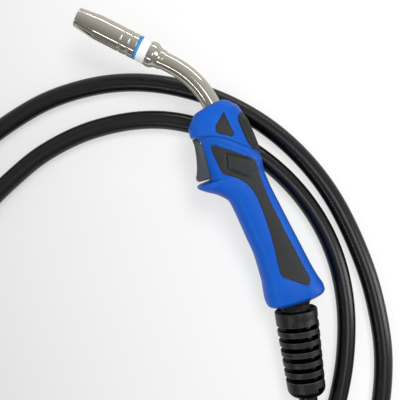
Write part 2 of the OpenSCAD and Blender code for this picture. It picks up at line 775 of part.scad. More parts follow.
function loop_r(a) =
  let (
    i = loop_turn(LOOPS, a),
    n = len(LOOPS) - 1,
    h = LOOPS[i + 1][0] - LOOPS[i][0],
    u = (a - LOOPS[i][0]) / h,
    v = 1 - u,
    here = loop_slope(i),
    before = i == 0 ? here : loop_slope(i - 1),
    after = i == n - 1 ? here : loop_slope(i + 1),
    s0 = before * here <= 0 ? 0 : 2 * before * here / (before + here),
    s1 = after * here <= 0 ? 0 : 2 * after * here / (after + here)
  )
  LOOPS[i][1] * v * v * (1 + 2 * u) + LOOPS[i + 1][1] * u * u * (3 - 2 * u)
  + h * u * v * (s0 * v - s1 * u);
function ease(u) = let (v = min(max(u, 0), 1)) v * v * (3 - 2 * v);
function loop_point(a) = [
  loop_middle[0] + loop_r(a) * cos(a),
  loop_middle[1] + loop_r(a) * sin(a),
  cable_r + (hand_nut_r - cable_r) * ease((loop_end + rise_angle - a) / rise_angle)
] + shift;
loop_path = [
  for (i = [0:loop_rings]) loop_point(loop_start + (loop_end - loop_start) * i / loop_rings)
];
support_dir = [
  -sin(support_bend) * cos(support_drop), -cos(support_bend) * cos(support_drop),
  -sin(support_drop)
];
ball_at = shift + [ball_x, ball_y * cos(tilt), ball_z];
lead_path = concat(
  [for (d = [kink_gap, 21, 42, 63, support_l, support_l + 9]) ball_at + d * support_dir],
  [for (p = LEAD) [p[0], p[1], p[2] - 8 + cable_r] + shift]
);
// one more point, level with the one before the end, so that the cable ends square
beyond = 2 * loop_path[loop_rings] - loop_path[loop_rings - 1];
cable_path = concat(
  lead_path, loop_path, [[beyond[0], beyond[1], loop_path[loop_rings - 1][2]]]
);
lead_n = len(lead_path);
function path_length(p) =
  [for (i = 1, s = 0; i < len(p); s = s + norm(p[i] - p[i - 1]), i = i + 1) s
    + norm(p[i] - p[i - 1])][len(p) - 2];
// least distance between points a turn or more apart, less the cable's own diameter
turn_rings = round(360 / abs(loop_end - loop_start) * loop_rings);
module cable_loops() {
  gaps = [
    for (i = [0:loop_rings], j = [i + turn_rings - 12:1:i + turn_rings + 12])
      if (j <= loop_rings) norm(loop_path[i] - loop_path[j]) - cable_d
  ];
  echo("length of the cable outside the handle", path_length(loop_path) + path_length(lead_path)
    + norm(loop_path[0] - lead_path[lead_n - 1]) + kink_gap);
  echo("least gap of the loops to themselves", min(gaps));
  color([0.08, 0.08, 0.09]) sweep(cable_path, cable_r, 12, lead_n, lead_n + loop_rings);
}
module cable_lead() {
  color([0.08, 0.08, 0.09]) sweep(cable_path, cable_r, 12, 0, lead_n);
}

// ---- connector ----------------------------------------------------------------------------
// +Y runs on from the end of the cable
module plug() {
  last = loop_path[loop_rings];
  ahead = last - loop_path[loop_rings - 1];
  translate([last[0], last[1], hand_nut_r]) rotate([0, 0, atan2(-ahead[0], ahead[1])])
    children();
}
boot_l = 46;
shell_l = 62;
shell_r = 19;
nut_y = boot_l + shell_l - 14;
spigot_y = nut_y + hand_nut_l;
pin_reach = 9;
pin_x = 8.6;
module connector_boot() {
  color([0.07, 0.07, 0.08]) plug() difference() {
    turned([
      [0, -8], [cable_r + 2, -8], [cable_r + 3.4, boot_l * 0.5], [cable_r + 5.4, boot_l - 2],
      [cable_r + 7, boot_l - 2], [cable_r + 7, boot_l + 4], [0, boot_l + 4]
    ]);
    rod(cable_r + seat_gap, -20, 0);
    rod(cable_r - 1.5, -1, boot_l + 5);
    for (i = [0:5], s = [-1, 1]) rotate([0, s > 0 ? 0 : 180, 0])
      translate([-20, i * 6.4 + (s > 0 ? 1 : 4.2), -3]) cube([40, 2, 30]);
  }
}
module shell_form() {
  turned([
    [0, boot_l - 5], [cable_r + 8.6, boot_l - 5], [cable_r + 9.6, boot_l - 3],
    [shell_r, boot_l + 18], [shell_r, boot_l + shell_l], [0, boot_l + shell_l]
  ]);
}
module shell_room() {
  rod(cable_r + 6, 0, boot_l);
  rod(cable_r + 7 + run_gap, boot_l - 2.2, boot_l + 4.2);
  rod(cable_r + 6, boot_l, boot_l + 24);
  rod(14 + run_gap, boot_l + 24, boot_l + shell_l + 1);
}
module connector_shell_upper() {
  color([0.1, 0.1, 0.11]) plug() difference() {
    shell_form();
    shell_room();
    translate([-50, 0, -50]) cube([100, 200, 50]);
    for (s = [-1, 1]) translate([s * 16.4, boot_l + 36, -1]) cylinder(r = 1.3, h = 6);
  }
}
module connector_shell_lower() {
  color([0.1, 0.1, 0.11]) plug() difference() {
    shell_form();
    shell_room();
    translate([-50, 0, 0]) cube([100, 200, 50]);
    for (s = [-1, 1]) translate([s * 16.4, boot_l + 36, -20]) {
      cylinder(r = 1.3, h = 30);
      cylinder(r = 2.4, h = 14);
    }
  }
}
module connector_screws() {
  color("silver") plug() for (s = [-1, 1])
    translate([s * 16.4, boot_l + 36, -8]) difference() {
      union() {
        cylinder(r = 1.25, h = 12);
        cylinder(r = 2.3, h = 2);
      }
      translate([-1.8, -0.4, -1]) cube([3.6, 0.8, 1.8]);
    }
}
// brass body: tail for the cable, flange behind the nut, face with the control pins, spigot
module connector_body() {
  color("goldenrod") plug() difference() {
    turned([
      [0, boot_l + 10], [6, boot_l + 10], [6, boot_l + 25], [14, boot_l + 25],
      [14, spigot_y - 12], [spigot_d / 2, spigot_y - 12], [spigot_d / 2, spigot_y + spigot_out - 8],
      [spigot_d / 2 - 1.7, spigot_y + spigot_out - 8], [spigot_d / 2 - 1.7, spigot_y + spigot_out - 6],
      [spigot_d / 2, spigot_y + spigot_out - 6], [spigot_d / 2, spigot_y + spigot_out - 1],
      [spigot_d / 2 - 1, spigot_y + spigot_out], [0, spigot_y + spigot_out]
    ]);
    rod(2.4, boot_l, spigot_y + spigot_out + 1);
    for (s = [-1, 1]) translate([s * pin_x, 0, 0]) {
      rod(control_pin_d / 2 + run_gap, boot_l + 34, spigot_y);
    }
  }
}
module hand_nut() {
  flutes = 12;
  color([0.1, 0.1, 0.11]) plug() difference() {
    turned([
      [14 + seat_gap, nut_y], [hand_nut_r - 2.5, nut_y], [hand_nut_r, nut_y + 3],
      [hand_nut_r, spigot_y - 2], [hand_nut_r - 1.5, spigot_y], [17, spigot_y],
      [17, nut_y + 14 + 0.4], [14 + seat_gap, nut_y + 14 + 0.4]
    ]);
    rod(shell_r + seat_gap, nut_y - 1, boot_l + shell_l + 0.4);
    for (i = [0:flutes - 1]) rotate([0, (i + 0.5) * 360 / flutes, 0])
      translate([hand_nut_r + 1.4, 0, 0]) rod(3, nut_y + 5, spigot_y + 1);
  }
}
module spigot_oring() {
  color([0.12, 0.12, 0.12]) plug() translate([0, spigot_y + spigot_out - 7, 0])
    rotate([-90, 0, 0]) rotate_extrude() translate([spigot_d / 2 - 0.86, 0]) circle(0.85);
}
module liner_nut() {
  color("goldenrod") plug() difference() {
    union() {
      hex_bar(7, spigot_y + spigot_out, spigot_y + spigot_out + 4);
      rod(2.35, spigot_y + spigot_out - 8, spigot_y + spigot_out + 0.5);
    }
    rod(1.2, spigot_y, spigot_y + 60);
  }
}
module control_pin(side) {
  color("gold") plug() translate([side * pin_x, 0, 0])
    turned([
      [0, boot_l + 36.5], [control_pin_d / 2, boot_l + 36.5],
      [control_pin_d / 2, spigot_y - 12 + pin_reach - 1.2],
      [control_pin_d / 2 - 1.2, spigot_y - 12 + pin_reach], [0, spigot_y - 12 + pin_reach]
    ]);
}
module control_pin_1() {
  control_pin(-1);
}
module control_pin_2() {
  control_pin(1);
}

gas_nozzle();
nozzle_spring();
seal_ring();
insulator_ring();
contact_tip();
tip_holder();
neck_collar();
neck_tube();
neck_insulation();
neck_conductor();
wire_liner();
neck_fitting();
handle_left();
handle_right();
grip_inlay_left();
grip_inlay_right();
name_plate();
thumb_pad();
trigger();
trigger_pin();
switch_body();
switch_plunger();
switch_terminals();
switch_wires();
handle_screws();
cable_nut();
cable_terminal();
cable_inner();
ball_joint();
strain_relief();
cable_lead();
cable_loops();
connector_boot();
connector_shell_upper();
connector_shell_lower();
connector_screws();
connector_body();
hand_nut();
spigot_oring();
liner_nut();
control_pin_1();
control_pin_2();
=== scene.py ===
# %% [markdown]
# # A gas-cooled MIG welding torch
# The torch lies on its right side on a pale table, with its cable in two wide loops round it.
# The mechanical parts come ready made from CAD, as a fixed frame in metres. This lesson adds what
# CAD is poor at: moulded skins with soft edges, a rubber cable, and the finish of every piece.

# %% Load the CAD frame
import json
import math
import bpy
import numpy as np
from mathutils import Matrix, Vector

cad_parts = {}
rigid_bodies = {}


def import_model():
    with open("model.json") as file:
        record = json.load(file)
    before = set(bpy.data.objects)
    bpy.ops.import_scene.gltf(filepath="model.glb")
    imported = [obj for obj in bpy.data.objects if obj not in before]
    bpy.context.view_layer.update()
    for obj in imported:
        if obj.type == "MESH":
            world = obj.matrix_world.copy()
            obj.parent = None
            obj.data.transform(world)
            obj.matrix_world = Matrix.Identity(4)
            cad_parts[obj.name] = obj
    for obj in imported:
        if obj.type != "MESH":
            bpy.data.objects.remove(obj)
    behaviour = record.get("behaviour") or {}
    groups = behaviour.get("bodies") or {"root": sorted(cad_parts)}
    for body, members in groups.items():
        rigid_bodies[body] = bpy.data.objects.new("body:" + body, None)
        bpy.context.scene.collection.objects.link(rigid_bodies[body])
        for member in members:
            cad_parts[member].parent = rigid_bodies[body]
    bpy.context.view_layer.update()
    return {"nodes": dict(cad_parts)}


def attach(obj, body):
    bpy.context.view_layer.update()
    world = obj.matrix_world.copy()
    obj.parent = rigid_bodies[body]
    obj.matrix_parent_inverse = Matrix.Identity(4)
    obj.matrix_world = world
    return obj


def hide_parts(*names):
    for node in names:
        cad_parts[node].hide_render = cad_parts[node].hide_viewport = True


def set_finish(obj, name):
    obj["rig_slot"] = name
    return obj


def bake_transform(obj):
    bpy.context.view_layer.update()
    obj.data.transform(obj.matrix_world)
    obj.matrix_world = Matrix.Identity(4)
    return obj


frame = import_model()
nodes = frame["nodes"]

# %% [markdown]
# The handle's own frame has Y along the handle from the butt, X towards its spine and Z out of its
# left side. The torch leans on a cable, so its frame is tilted a little about X and moved on the
# table. One function turns points about an axis, and one takes them in millimetres from that frame
# to the table, in metres.

# %% The torch's own frame
SHIFT = np.array([38.7479, -105.166, 0.0])
BUTT_HEIGHT = 21.2
TILT = math.radians(6.31532)
HEAD_Y = 186.0


def spun(points, axis, angle):
    """Points turned about axis 0, 1 or 2: with a and b the two axes that follow it round,
    a' = a cos - b sin and b' = a sin + b cos."""
    points = np.asarray(points, float)
    a, b = (axis + 1) % 3, (axis + 2) % 3
    c, s = math.cos(angle), math.sin(angle)
    out = points.copy()
    out[..., a] = points[..., a] * c - points[..., b] * s
    out[..., b] = points[..., a] * s + points[..., b] * c
    return out


def from_torch(points):
    """Points of the torch's frame, in mm, turned by the tilt about X, moved, and in metres."""
    return (spun(points, 0, TILT) + SHIFT + [0, 0, BUTT_HEIGHT]) / 1000


print("top of the head at", from_torch([-15, HEAD_Y, 0]).round(4))

# %% [markdown]
# The camera looks straight down from 0.6 m. A long lens this near keeps the outline almost flat,
# yet the raised parts still grow a little, as they do for someone who leans over a table.

# %% Camera
VIEW_HEIGHT = 0.6
SENSOR = 36
LENS = 60.5
camera = bpy.data.objects.new("camera", bpy.data.cameras.new("camera"))
camera.data.sensor_width = SENSOR
camera.data.lens = LENS
camera.location = (-0.0111, 0.0059, VIEW_HEIGHT)
camera.rotation_euler = (0, 0, math.radians(-17.4))
bpy.context.scene.collection.objects.link(camera)
bpy.context.scene.camera = camera
bpy.context.scene.view_settings.view_transform = "Standard"
print("view is", round(VIEW_HEIGHT * SENSOR / LENS * 1000), "mm wide at the table")

# %% [markdown]
# Colours are written as sRGB hex, the way a colour chart gives them, but light adds up in linear
# numbers. One function turns one into the other. A second adds a shader node with its settings
# and its links in one call, so that a material reads as a short list.

# %% Colour and node helpers


def linear(hex_colour):
    """Each sRGB channel c becomes ((c + 0.055) / 1.055) ** 2.4, or c / 12.92 near black."""
    c = np.array([int(hex_colour[i:i + 2], 16) / 255 for i in (1, 3, 5)])
    c = np.where(c > 0.04045, ((c + 0.055) / 1.055) ** 2.4, c / 12.92)
    return (*c, 1.0)


def add(tree, kind, inputs=None, **settings):
    """One new shader node: settings are its properties, inputs are values or sockets to link."""
    node = tree.nodes.new("ShaderNode" + kind)
    for name, value in settings.items():
        setattr(node, name, value)
    for name, value in (inputs or {}).items():
        if isinstance(value, bpy.types.NodeSocket):
            tree.links.new(value, node.inputs[name])
        else:
            node.inputs[name].default_value = value
    return node


def new_material(name):
    """An empty material with its output node, as (material, tree, output)."""
    material = bpy.data.materials.new(name)
    material.use_nodes = True
    material.node_tree.nodes.clear()
    return material, material.node_tree, add(material.node_tree, "OutputMaterial")


print("mid grey is", round(linear("#808080")[0], 3), "in linear light")

# %% [markdown]
# The table is a smooth white board. For the camera and for mirrors most of its white is its own
# glow, painted light that is a little less towards the left, as on a sheet lit from the right,
# and the rest is light that falls on it. So it stays pale, and the torch's soft shadow still lies
# on it.

# %% Table


def plain_mesh(name, points, faces):
    """A mesh object at the origin, from an array of points in metres and an array of faces."""
    mesh = bpy.data.meshes.new(name)
    points = np.asarray(points, float).reshape(-1, 3)
    mesh.from_pydata(points.tolist(), [], [list(f) for f in faces])
    mesh.update()
    obj = bpy.data.objects.new(name, mesh)
    bpy.context.scene.collection.objects.link(obj)
    return obj


TABLE_HALF = 4.0
TABLE_TOP = -0.0003
GLOW_X = (-0.24, 0.08)      # from here to there the board's own light
GLOW = (0.4, 0.68)          # grows from the one strength to the other
LESS_IN_MIRRORS = 0.45
table = plain_mesh("table", [[x * TABLE_HALF, y * TABLE_HALF, TABLE_TOP] for x, y in (
    (-1, -1), (1, -1), (1, 1), (-1, 1))], [(0, 1, 2, 3)])
white_board, tree, output = new_material("white_board")
light_path = add(tree, "LightPath")
seen = add(tree, "Math", {
    0: light_path.outputs["Is Camera Ray"], 1: light_path.outputs["Is Glossy Ray"]},
    operation="MAXIMUM")
seen = add(tree, "Math", {
    0: seen.outputs[0], 1: light_path.outputs["Is Transmission Ray"]}, operation="MAXIMUM")
board = add(tree, "BsdfDiffuse", {"Color": linear("#EDEEEE")})
shaded = add(tree, "BsdfDiffuse", {"Color": linear("#989898")})
on_board = add(tree, "SeparateXYZ", {0: add(tree, "TexCoord").outputs["Object"]})
# painted light: the board glows by itself, less towards the left, as if lit from the right
painted_glow_falloff = add(tree, "MapRange", {
    "Value": on_board.outputs["X"], "From Min": GLOW_X[0], "From Max": GLOW_X[1],
    "To Min": GLOW[0], "To Max": GLOW[1]})
dimmer = add(tree, "Math", {
    0: light_path.outputs["Is Glossy Ray"], 1: -LESS_IN_MIRRORS, 2: 1.0}, operation="MULTIPLY_ADD")
own_light = add(tree, "Math", {0: painted_glow_falloff.outputs[0], 1: dimmer.outputs[0]},
                operation="MULTIPLY")
glow = add(tree, "Emission", {
    "Color": linear("#FFFFFE"), "Strength": own_light.outputs[0]})
both = add(tree, "AddShader", {0: shaded.outputs[0], 1: glow.outputs[0]})
mix = add(tree, "MixShader", {
    0: seen.outputs[0], 1: board.outputs[0], 2: both.outputs[0]})
tree.links.new(mix.outputs[0], output.inputs["Surface"])
table.data.materials.append(white_board)
print("table is", 2 * TABLE_HALF, "m wide")

# %% [markdown]
# The light is that of a bright room. Its walls, as shiny things mirror them, run from pale beyond
# the nozzle's upper side to dim beyond its lower side, which gives the metal its light and dark
# bands. A large soft window high on the right lays the shadow down to the left, and a weaker one
# on the left fills it. A ceiling light and a low panel on the right are mirrored by shiny skins:
# they leave the sheen on the rubber. Two narrow strips draw the bright lines along the nickel.

# %% Light
world = bpy.data.worlds.new("room")
bpy.context.scene.world = world
world.use_nodes = True
sky = world.node_tree
NEAR_NOZZLE = np.array([-0.08, 0.09, 0.0])
ACROSS_NOZZLE = np.array([0.69, 0.724, 0.0])
ROOM = 0.42
MIRRORED_ROOM = (0.2, 0.64)
STRIP_FAR = 1.2
STRIP_WIDTH, STRIP_LENGTH = 0.07, 0.9
side_seen = add(sky, "VectorMath", {
    0: add(sky, "TexCoord").outputs["Generated"], 1: tuple(ACROSS_NOZZLE)},
    operation="DOT_PRODUCT")
mirrored_room = add(sky, "MapRange", {
    "Value": side_seen.outputs["Value"], "From Min": -0.9, "From Max": 0.9,
    "To Min": MIRRORED_ROOM[0], "To Max": MIRRORED_ROOM[1]})
room = add(sky, "Mix", {
    0: add(sky, "LightPath").outputs["Is Glossy Ray"], 2: ROOM,
    3: mirrored_room.outputs[0]})
sky.nodes["Background"].inputs["Color"].default_value = linear("#FFFFFF")
sky.links.new(room.outputs[0], sky.nodes["Background"].inputs["Strength"])


def strip_turn(away, length_way):
    """Rotation of a lamp whose light comes from away and whose length lies along length_way."""
    back = away / np.linalg.norm(away)
    side = np.cross(length_way, back)
    side /= np.linalg.norm(side)
    up = np.cross(back, side)
    return Matrix(np.stack([side, up, back], 1).tolist()).to_euler()


def window(name, place, size, power, length=None, mirrored=False, lights=True):
    """A soft light that looks at the middle of the table; a strip if it has a length. It is seen
    in shiny surfaces if mirrored, and it lights matt ones if lights."""
    lamp = bpy.data.lights.new(name, "AREA")
    lamp.size = size
    if length:
        lamp.shape = "RECTANGLE"
        lamp.size_y = length
    lamp.energy = power
    obj = bpy.data.objects.new(name, lamp)
    obj.location = place
    obj.rotation_euler = Vector(place).to_track_quat("Z", "Y").to_euler()
    obj.visible_glossy = mirrored
    obj.visible_diffuse = lights
    bpy.context.scene.collection.objects.link(obj)
    return obj


window("window_right", (0.42, 0.45, 1.35), 0.55, 11.5)
window("window_left", (-0.95, 0.25, 1.1), 0.8, 4.0)
window("ceiling", (0.3, -0.28, 1.6), 0.6, 3.5, mirrored=True)
window("sheen_right", (1.1, -0.4, 0.55), 0.4, 4.5, 0.8, mirrored=True, lights=False)
for name, lean, power in (("strip_high", 71, 1.5), ("strip_low", -50, 1.3)):
    tip = math.radians(lean)
    place = NEAR_NOZZLE + STRIP_FAR * (math.sin(tip) * ACROSS_NOZZLE + [0, 0, math.cos(tip)])
    strip = window(name, tuple(place), STRIP_WIDTH, power, STRIP_LENGTH, mirrored=True)
    strip.rotation_euler = strip_turn(place - NEAR_NOZZLE, np.cross(ACROSS_NOZZLE, [0, 0, 1]))
print("four soft lights and two strips")

# %% [markdown]
# The cable is fixed in length, so its route is worked out first and the tube follows. The route is
# a list of points from the ball in the handle's butt, through the support, down to the table and
# round the loops, whose radius is given at a few angles. A cubic spline through all of them has no
# kink anywhere, because its curvature runs on from piece to piece.

# %% Route of the cable
CABLE_R = 8.0
SUPPORT_L = 90.0
SUPPORT_BEND = math.radians(9)
SUPPORT_DROP = math.radians(4.01399)
BALL = np.array([41.7479, -93.2388, 22.52])
LEAD = np.array([
    [-15, -92.5, 15], [-22, -108, 13], [-31, -122, 11], [-43, -134.5, 9.3], [-56, -144.8, 8.3]
])
LOOP_MIDDLE = np.array([-142.8, 20.3])
LOOPS = np.array([
    [-67, 187], [-90, 188], [-120, 185], [-150, 179], [-180, 172.5], [-210, 168.5],
    [-245, 168], [-260, 172.5], [-280, 180.6], [-300, 188], [-320, 190.5], [-352, 192],
    [-380, 190.5], [-393, 192], [-407, 198], [-425, 207], [-450, 211], [-480, 211],
    [-510, 210], [-540, 209], [-600, 209], [-615, 210.5], [-630, 215], [-650, 218],
    [-675, 216.3], [-700, 213.5], [-713, 212.5], [-728, 216], [-745, 225], [-765, 234.5],
    [-790, 237.5], [-820, 234], [-864, 230]
])
LOOP_RINGS = 104
ROUTE_STEP = 3.5
RISE_ANGLE = 34.0
NUT_R = 23.0


def monotone(xs, ys, x):
    """Piecewise cubic through (xs, ys) that never swings past its points: each inner slope is
    the harmonic mean of the two chords beside it, or zero where they differ in sign."""
    h = np.diff(xs)
    chord = np.diff(ys) / h
    a, b = chord[:-1], chord[1:]
    inner = np.where(a * b > 0, 2 * a * b / np.where(a * b > 0, a + b, 1), 0)
    slope = np.concatenate([chord[:1], inner, chord[-1:]])
    i = np.clip(np.searchsorted(xs, x, side="left") - 1, 0, len(h) - 1)
    u = np.clip((x - xs[i]) / h[i], 0, 1)
    v = 1 - u
    return (ys[i] * v * v * (1 + 2 * u) + ys[i + 1] * u * u * (3 - 2 * u)
            + h[i] * u * v * (slope[i] * v - slope[i + 1] * u))


def ease(u):
    """0 before 0, 1 after 1, and a smooth 3u^2 - 2u^3 between."""
    u = np.clip(u, 0, 1)
    return u * u * (3 - 2 * u)


def spline(points, step):
    """Natural cubic spline through points, its parameter the chord length, sampled every step."""
    t = np.concatenate([[0], np.cumsum(np.linalg.norm(np.diff(points, axis=0), axis=1))])
    h, n = np.diff(t), len(t)
    system = np.eye(n)
    right = np.zeros((n, points.shape[1]))
    k = np.arange(1, n - 1)
    system[k, k - 1], system[k, k], system[k, k + 1] = h[:-1], 2 * (h[:-1] + h[1:]), h[1:]
    right[k] = 6 * np.diff(np.diff(points, axis=0) / h[:, None], axis=0)
    bend = np.linalg.solve(system, right)
    x = np.linspace(0, t[-1], int(round(t[-1] / step)) + 1)
    i = np.clip(np.searchsorted(t, x) - 1, 0, n - 2)
    u, w = (t[i + 1] - x)[:, None], (x - t[i])[:, None]
    d = h[i][:, None]
    return (bend[i] * u ** 3 + bend[i + 1] * w ** 3) / (6 * d) + (
        points[i] / d - bend[i] * d / 6) * u + (points[i + 1] / d - bend[i + 1] * d / 6) * w


angle = np.linspace(LOOPS[0, 0], LOOPS[-1, 0], LOOP_RINGS + 1)
radius = monotone(-LOOPS[:, 0], LOOPS[:, 1], -angle)
loop_points = np.stack([
    LOOP_MIDDLE[0] + radius * np.cos(np.radians(angle)),
    LOOP_MIDDLE[1] + radius * np.sin(np.radians(angle)),
    CABLE_R + (NUT_R - CABLE_R) * ease((LOOPS[-1, 0] + RISE_ANGLE - angle) / RISE_ANGLE)
], -1) + SHIFT
support_way = np.array([
    -math.sin(SUPPORT_BEND) * math.cos(SUPPORT_DROP),
    -math.cos(SUPPORT_BEND) * math.cos(SUPPORT_DROP), -math.sin(SUPPORT_DROP)
])
lead_points = np.concatenate([
    BALL + np.array([1.5, 21, 42, 63, 78, SUPPORT_L, SUPPORT_L + 9])[:, None] * support_way,
    LEAD + SHIFT
])
ahead = loop_points[-1] - loop_points[-2]
beyond = loop_points[-1] + [ahead[0], ahead[1], 0]
route = spline(np.concatenate([lead_points, loop_points, [beyond]]), ROUTE_STEP)
first_loop = np.argmin(np.linalg.norm(route - loop_points[0], axis=1))
last_loop = np.argmin(np.linalg.norm(route - loop_points[-1], axis=1))
lead_route, loop_route = route[:first_loop + 1], route[first_loop:last_loop + 1]


def length_of(points):
    """The sum of the straight steps from point to point."""
    return float(np.linalg.norm(np.diff(points, axis=0), axis=1).sum())


print("cable in the support", round(length_of(lead_route)), "mm, in loops",
      round(length_of(loop_route)))

# %% [markdown]
# Every new piece is a grid of points: rows along it, columns round it. One function makes the mesh,
# shuts the ends that are open, and turns the faces outwards by the sign of the volume they enclose.
# A second joins or cuts two closed pieces with a Boolean modifier and keeps the result.

# %% Solids from grids


def grid_faces(rows, columns, closed=False):
    """Quads of a grid of rows x columns points, whose last column meets the first if closed."""
    i, j = np.meshgrid(np.arange(rows - 1), np.arange(columns - (not closed)), indexing="ij")
    right = (j + 1) % columns
    return np.stack([i * columns + j, i * columns + right, (i + 1) * columns + right,
                     (i + 1) * columns + j], -1).reshape(-1, 4)


def solid(name, grid, place, closed_rows=False):
    """Closed mesh of a grid (rows, columns, 3) in mm whose columns join up; place() takes it to
    metres. The enclosed volume is the sum of a . (b x c) / 6 over its triangles."""
    rows, columns = grid.shape[:2]
    points = place(grid).reshape(-1, 3)
    quads = grid_faces(rows, columns, closed=True)
    if closed_rows:
        j = np.arange(columns)
        right = (j + 1) % columns
        last = (rows - 1) * columns
        quads = np.concatenate([quads, np.stack([last + j, last + right, right, j], -1)])
    a, b, c, d = (points[quads[:, k]] for k in range(4))
    volume = (a * np.cross(b, c)).sum() + (a * np.cross(c, d)).sum()
    caps = []
    if not closed_rows:
        first, final = np.arange(columns)[::-1], (rows - 1) * columns + np.arange(columns)
        for cap in (first, final):
            fan = np.stack([np.full(columns - 2, cap[0]), cap[1:-1], cap[2:]], -1)
            volume += (points[fan[:, 0]] * np.cross(points[fan[:, 1]], points[fan[:, 2]])).sum()
            caps.append(cap)
    turn = 1 if volume > 0 else -1
    obj = plain_mesh(name, points, [q[::turn].tolist() for q in [*quads, *caps]])
    obj.data.polygons.foreach_set("use_smooth", [True] * len(obj.data.polygons))
    local = obj.data.attributes.new("local_mm", "FLOAT_VECTOR", "POINT")
    local.data.foreach_set("vector", grid.reshape(-1).astype(np.float32))
    return obj


def combine(target, tool, operation):
    """The Boolean of two closed pieces, kept as target's mesh; the tool goes."""
    modifier = target.modifiers.new(operation, "BOOLEAN")
    modifier.object, modifier.operation, modifier.solver = tool, operation, "MANIFOLD"
    bpy.context.view_layer.update()
    done = bpy.data.meshes.new_from_object(
        target.evaluated_get(bpy.context.evaluated_depsgraph_get()))
    target.modifiers.clear()
    target.data = done
    bpy.data.objects.remove(tool)
    return target


def soften(obj, degrees=35):
    """Smooth shading that keeps edges sharper than the angle."""
    obj.data.polygons.foreach_set("use_smooth", [True] * len(obj.data.polygons))
    obj.data.set_sharp_from_angle(angle=math.radians(degrees))
    return obj


def stand_for(obj, slot, body, *names):
    """The piece rides on a body, takes a slot's finish and stands for CAD nodes."""
    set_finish(obj, slot)
    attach(obj, body)
    if names:
        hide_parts(*names)
    return obj


def remember(obj, place):
    """Writes local_mm anew after Booleans: the inverse of a placing that only turns and moves."""
    origin = place(np.zeros(3))
    axes = (place(np.eye(3)) - origin) * 1000
    points = np.empty(len(obj.data.vertices) * 3)
    obj.data.vertices.foreach_get("co", points)
    own = (points.reshape(-1, 3) - origin) @ axes.T * 1000
    obj.data.attributes["local_mm"].data.foreach_set("vector", own.reshape(-1).astype(np.float32))


print("a grid of 3 x 4 points has", len(grid_faces(3, 4)), "faces")

# %% [markdown]
# A tube is a circle carried along the route. Its frame is kept level: one side vector lies in the
# table's plane, so the circle never twists.

# %% Tube along a route


def carried(path, place):
    """Takes the grid's X and Z out sideways and upwards from each point of a path: point +
    x side + z up, where side is level and square to the path, and up is square to both."""
    path = np.asarray(path, float)
    heading = np.gradient(path, axis=0)
    heading /= np.linalg.norm(heading, axis=1)[:, None]
    side = np.cross(heading, [0, 0, 1])
    side /= np.linalg.norm(side, axis=1)[:, None]
    up = np.cross(side, heading)
    return lambda grid: place(
        path[:, None] + side[:, None] * grid[..., :1] + up[:, None] * grid[..., 2:])


def turned(profile, around=128):
    """A profile of (radius, distance) turned about Y: x = r sin a, z = r cos a."""
    r, y = np.asarray(profile, float).T
    a = np.linspace(0, 2 * np.pi, around, endpoint=False)
    return np.stack([r[:, None] * np.sin(a), np.broadcast_to(y[:, None], (len(r), around)),
                     r[:, None] * np.cos(a)], -1)


def lathe(name, profile, place, around=128):
    """A closed profile turned about Y into a ring-shaped solid."""
    return solid(name, turned(profile, around), place, closed_rows=True)


def tube(name, path, radius_mm, around, place=lambda points: points / 1000):
    """A round solid of one radius along a path, its Y the distance along it."""
    far = np.concatenate([[0], np.cumsum(np.linalg.norm(np.diff(path, axis=0), axis=1))])
    grid = turned(np.stack([np.full(len(path), radius_mm), far], -1), around)
    return solid(name, grid, carried(path, place))


lead = soften(tube("cable_lead_jacket", lead_route, CABLE_R, 48), 40)
loops = soften(tube("cable_loops_jacket", loop_route, CABLE_R, 48), 40)
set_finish(lead, "cable_rubber")
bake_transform(lead)
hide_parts("cable_lead")
stand_for(loops, "cable_rubber", "torch", "cable_loops")
print("tubes of", len(lead.data.polygons) + len(loops.data.polygons), "faces")

# %% [markdown]
# The handle is two moulded halves. Their skin is one formula: a section is a superellipse, whose
# width and thickness change smoothly along the handle. The tables repeat the CAD's numbers, apart
# from the butt, whose edge is rounded more fully here, as the tool's radius does in the plastic.

# %% The handle's form
HANDLE_T = 43.0
SKIN_POWER = 2.7
BUTT_Y = 4.5


def from_top(rows):
    """Rows of a table, those below zero counted back from the top of the head."""
    table = np.array(rows, float)
    table[:, 0] = np.where(table[:, 0] < 0, HEAD_Y + table[:, 0], table[:, 0])
    return table


STATIONS = from_top([
    [BUTT_Y, -16.6, 24.6, 7.2], [5.6, -19.4, 27.6, 5.2], [7.4, -21.3, 29.0, 2.7],
    [8.9, -21.9, 29.4, 0.55], [12, -22.2, 29.3, 0.2], [20, -21.4, 26.9, 0.3],
    [30, -20.2, 24.4, 1.1], [50, -19.9, 20.6, 2.2],
    [70, -22.1, 16.8, 2.7], [-96, -24.5, 13.1, 2.7], [-83, -26.8, 10.8, 2.3],
    [-75, -33.7, 9.8, 1.9], [-66, -46.9, 9, 1.3], [-63.2, -48.5, 9.1, 1.1], [-62, -46.4, 9.3, 1],
    [-61.5, -38.2, 9.4, 1], [-56, -37.4, 10, 0.8], [-38, -37.4, 8.8, 0.3], [-26, -38.8, 7.4, 0],
    [-23, -41.9, 6.9, 0], [-16, -41.8, 5.8, 0.2], [-8, -36.2, 3.2, 1.4], [-4.5, -32.5, -0.5, 3],
    [-2, -24, -2.8, 5], [-0.01, -15, -7, 8.5]
])
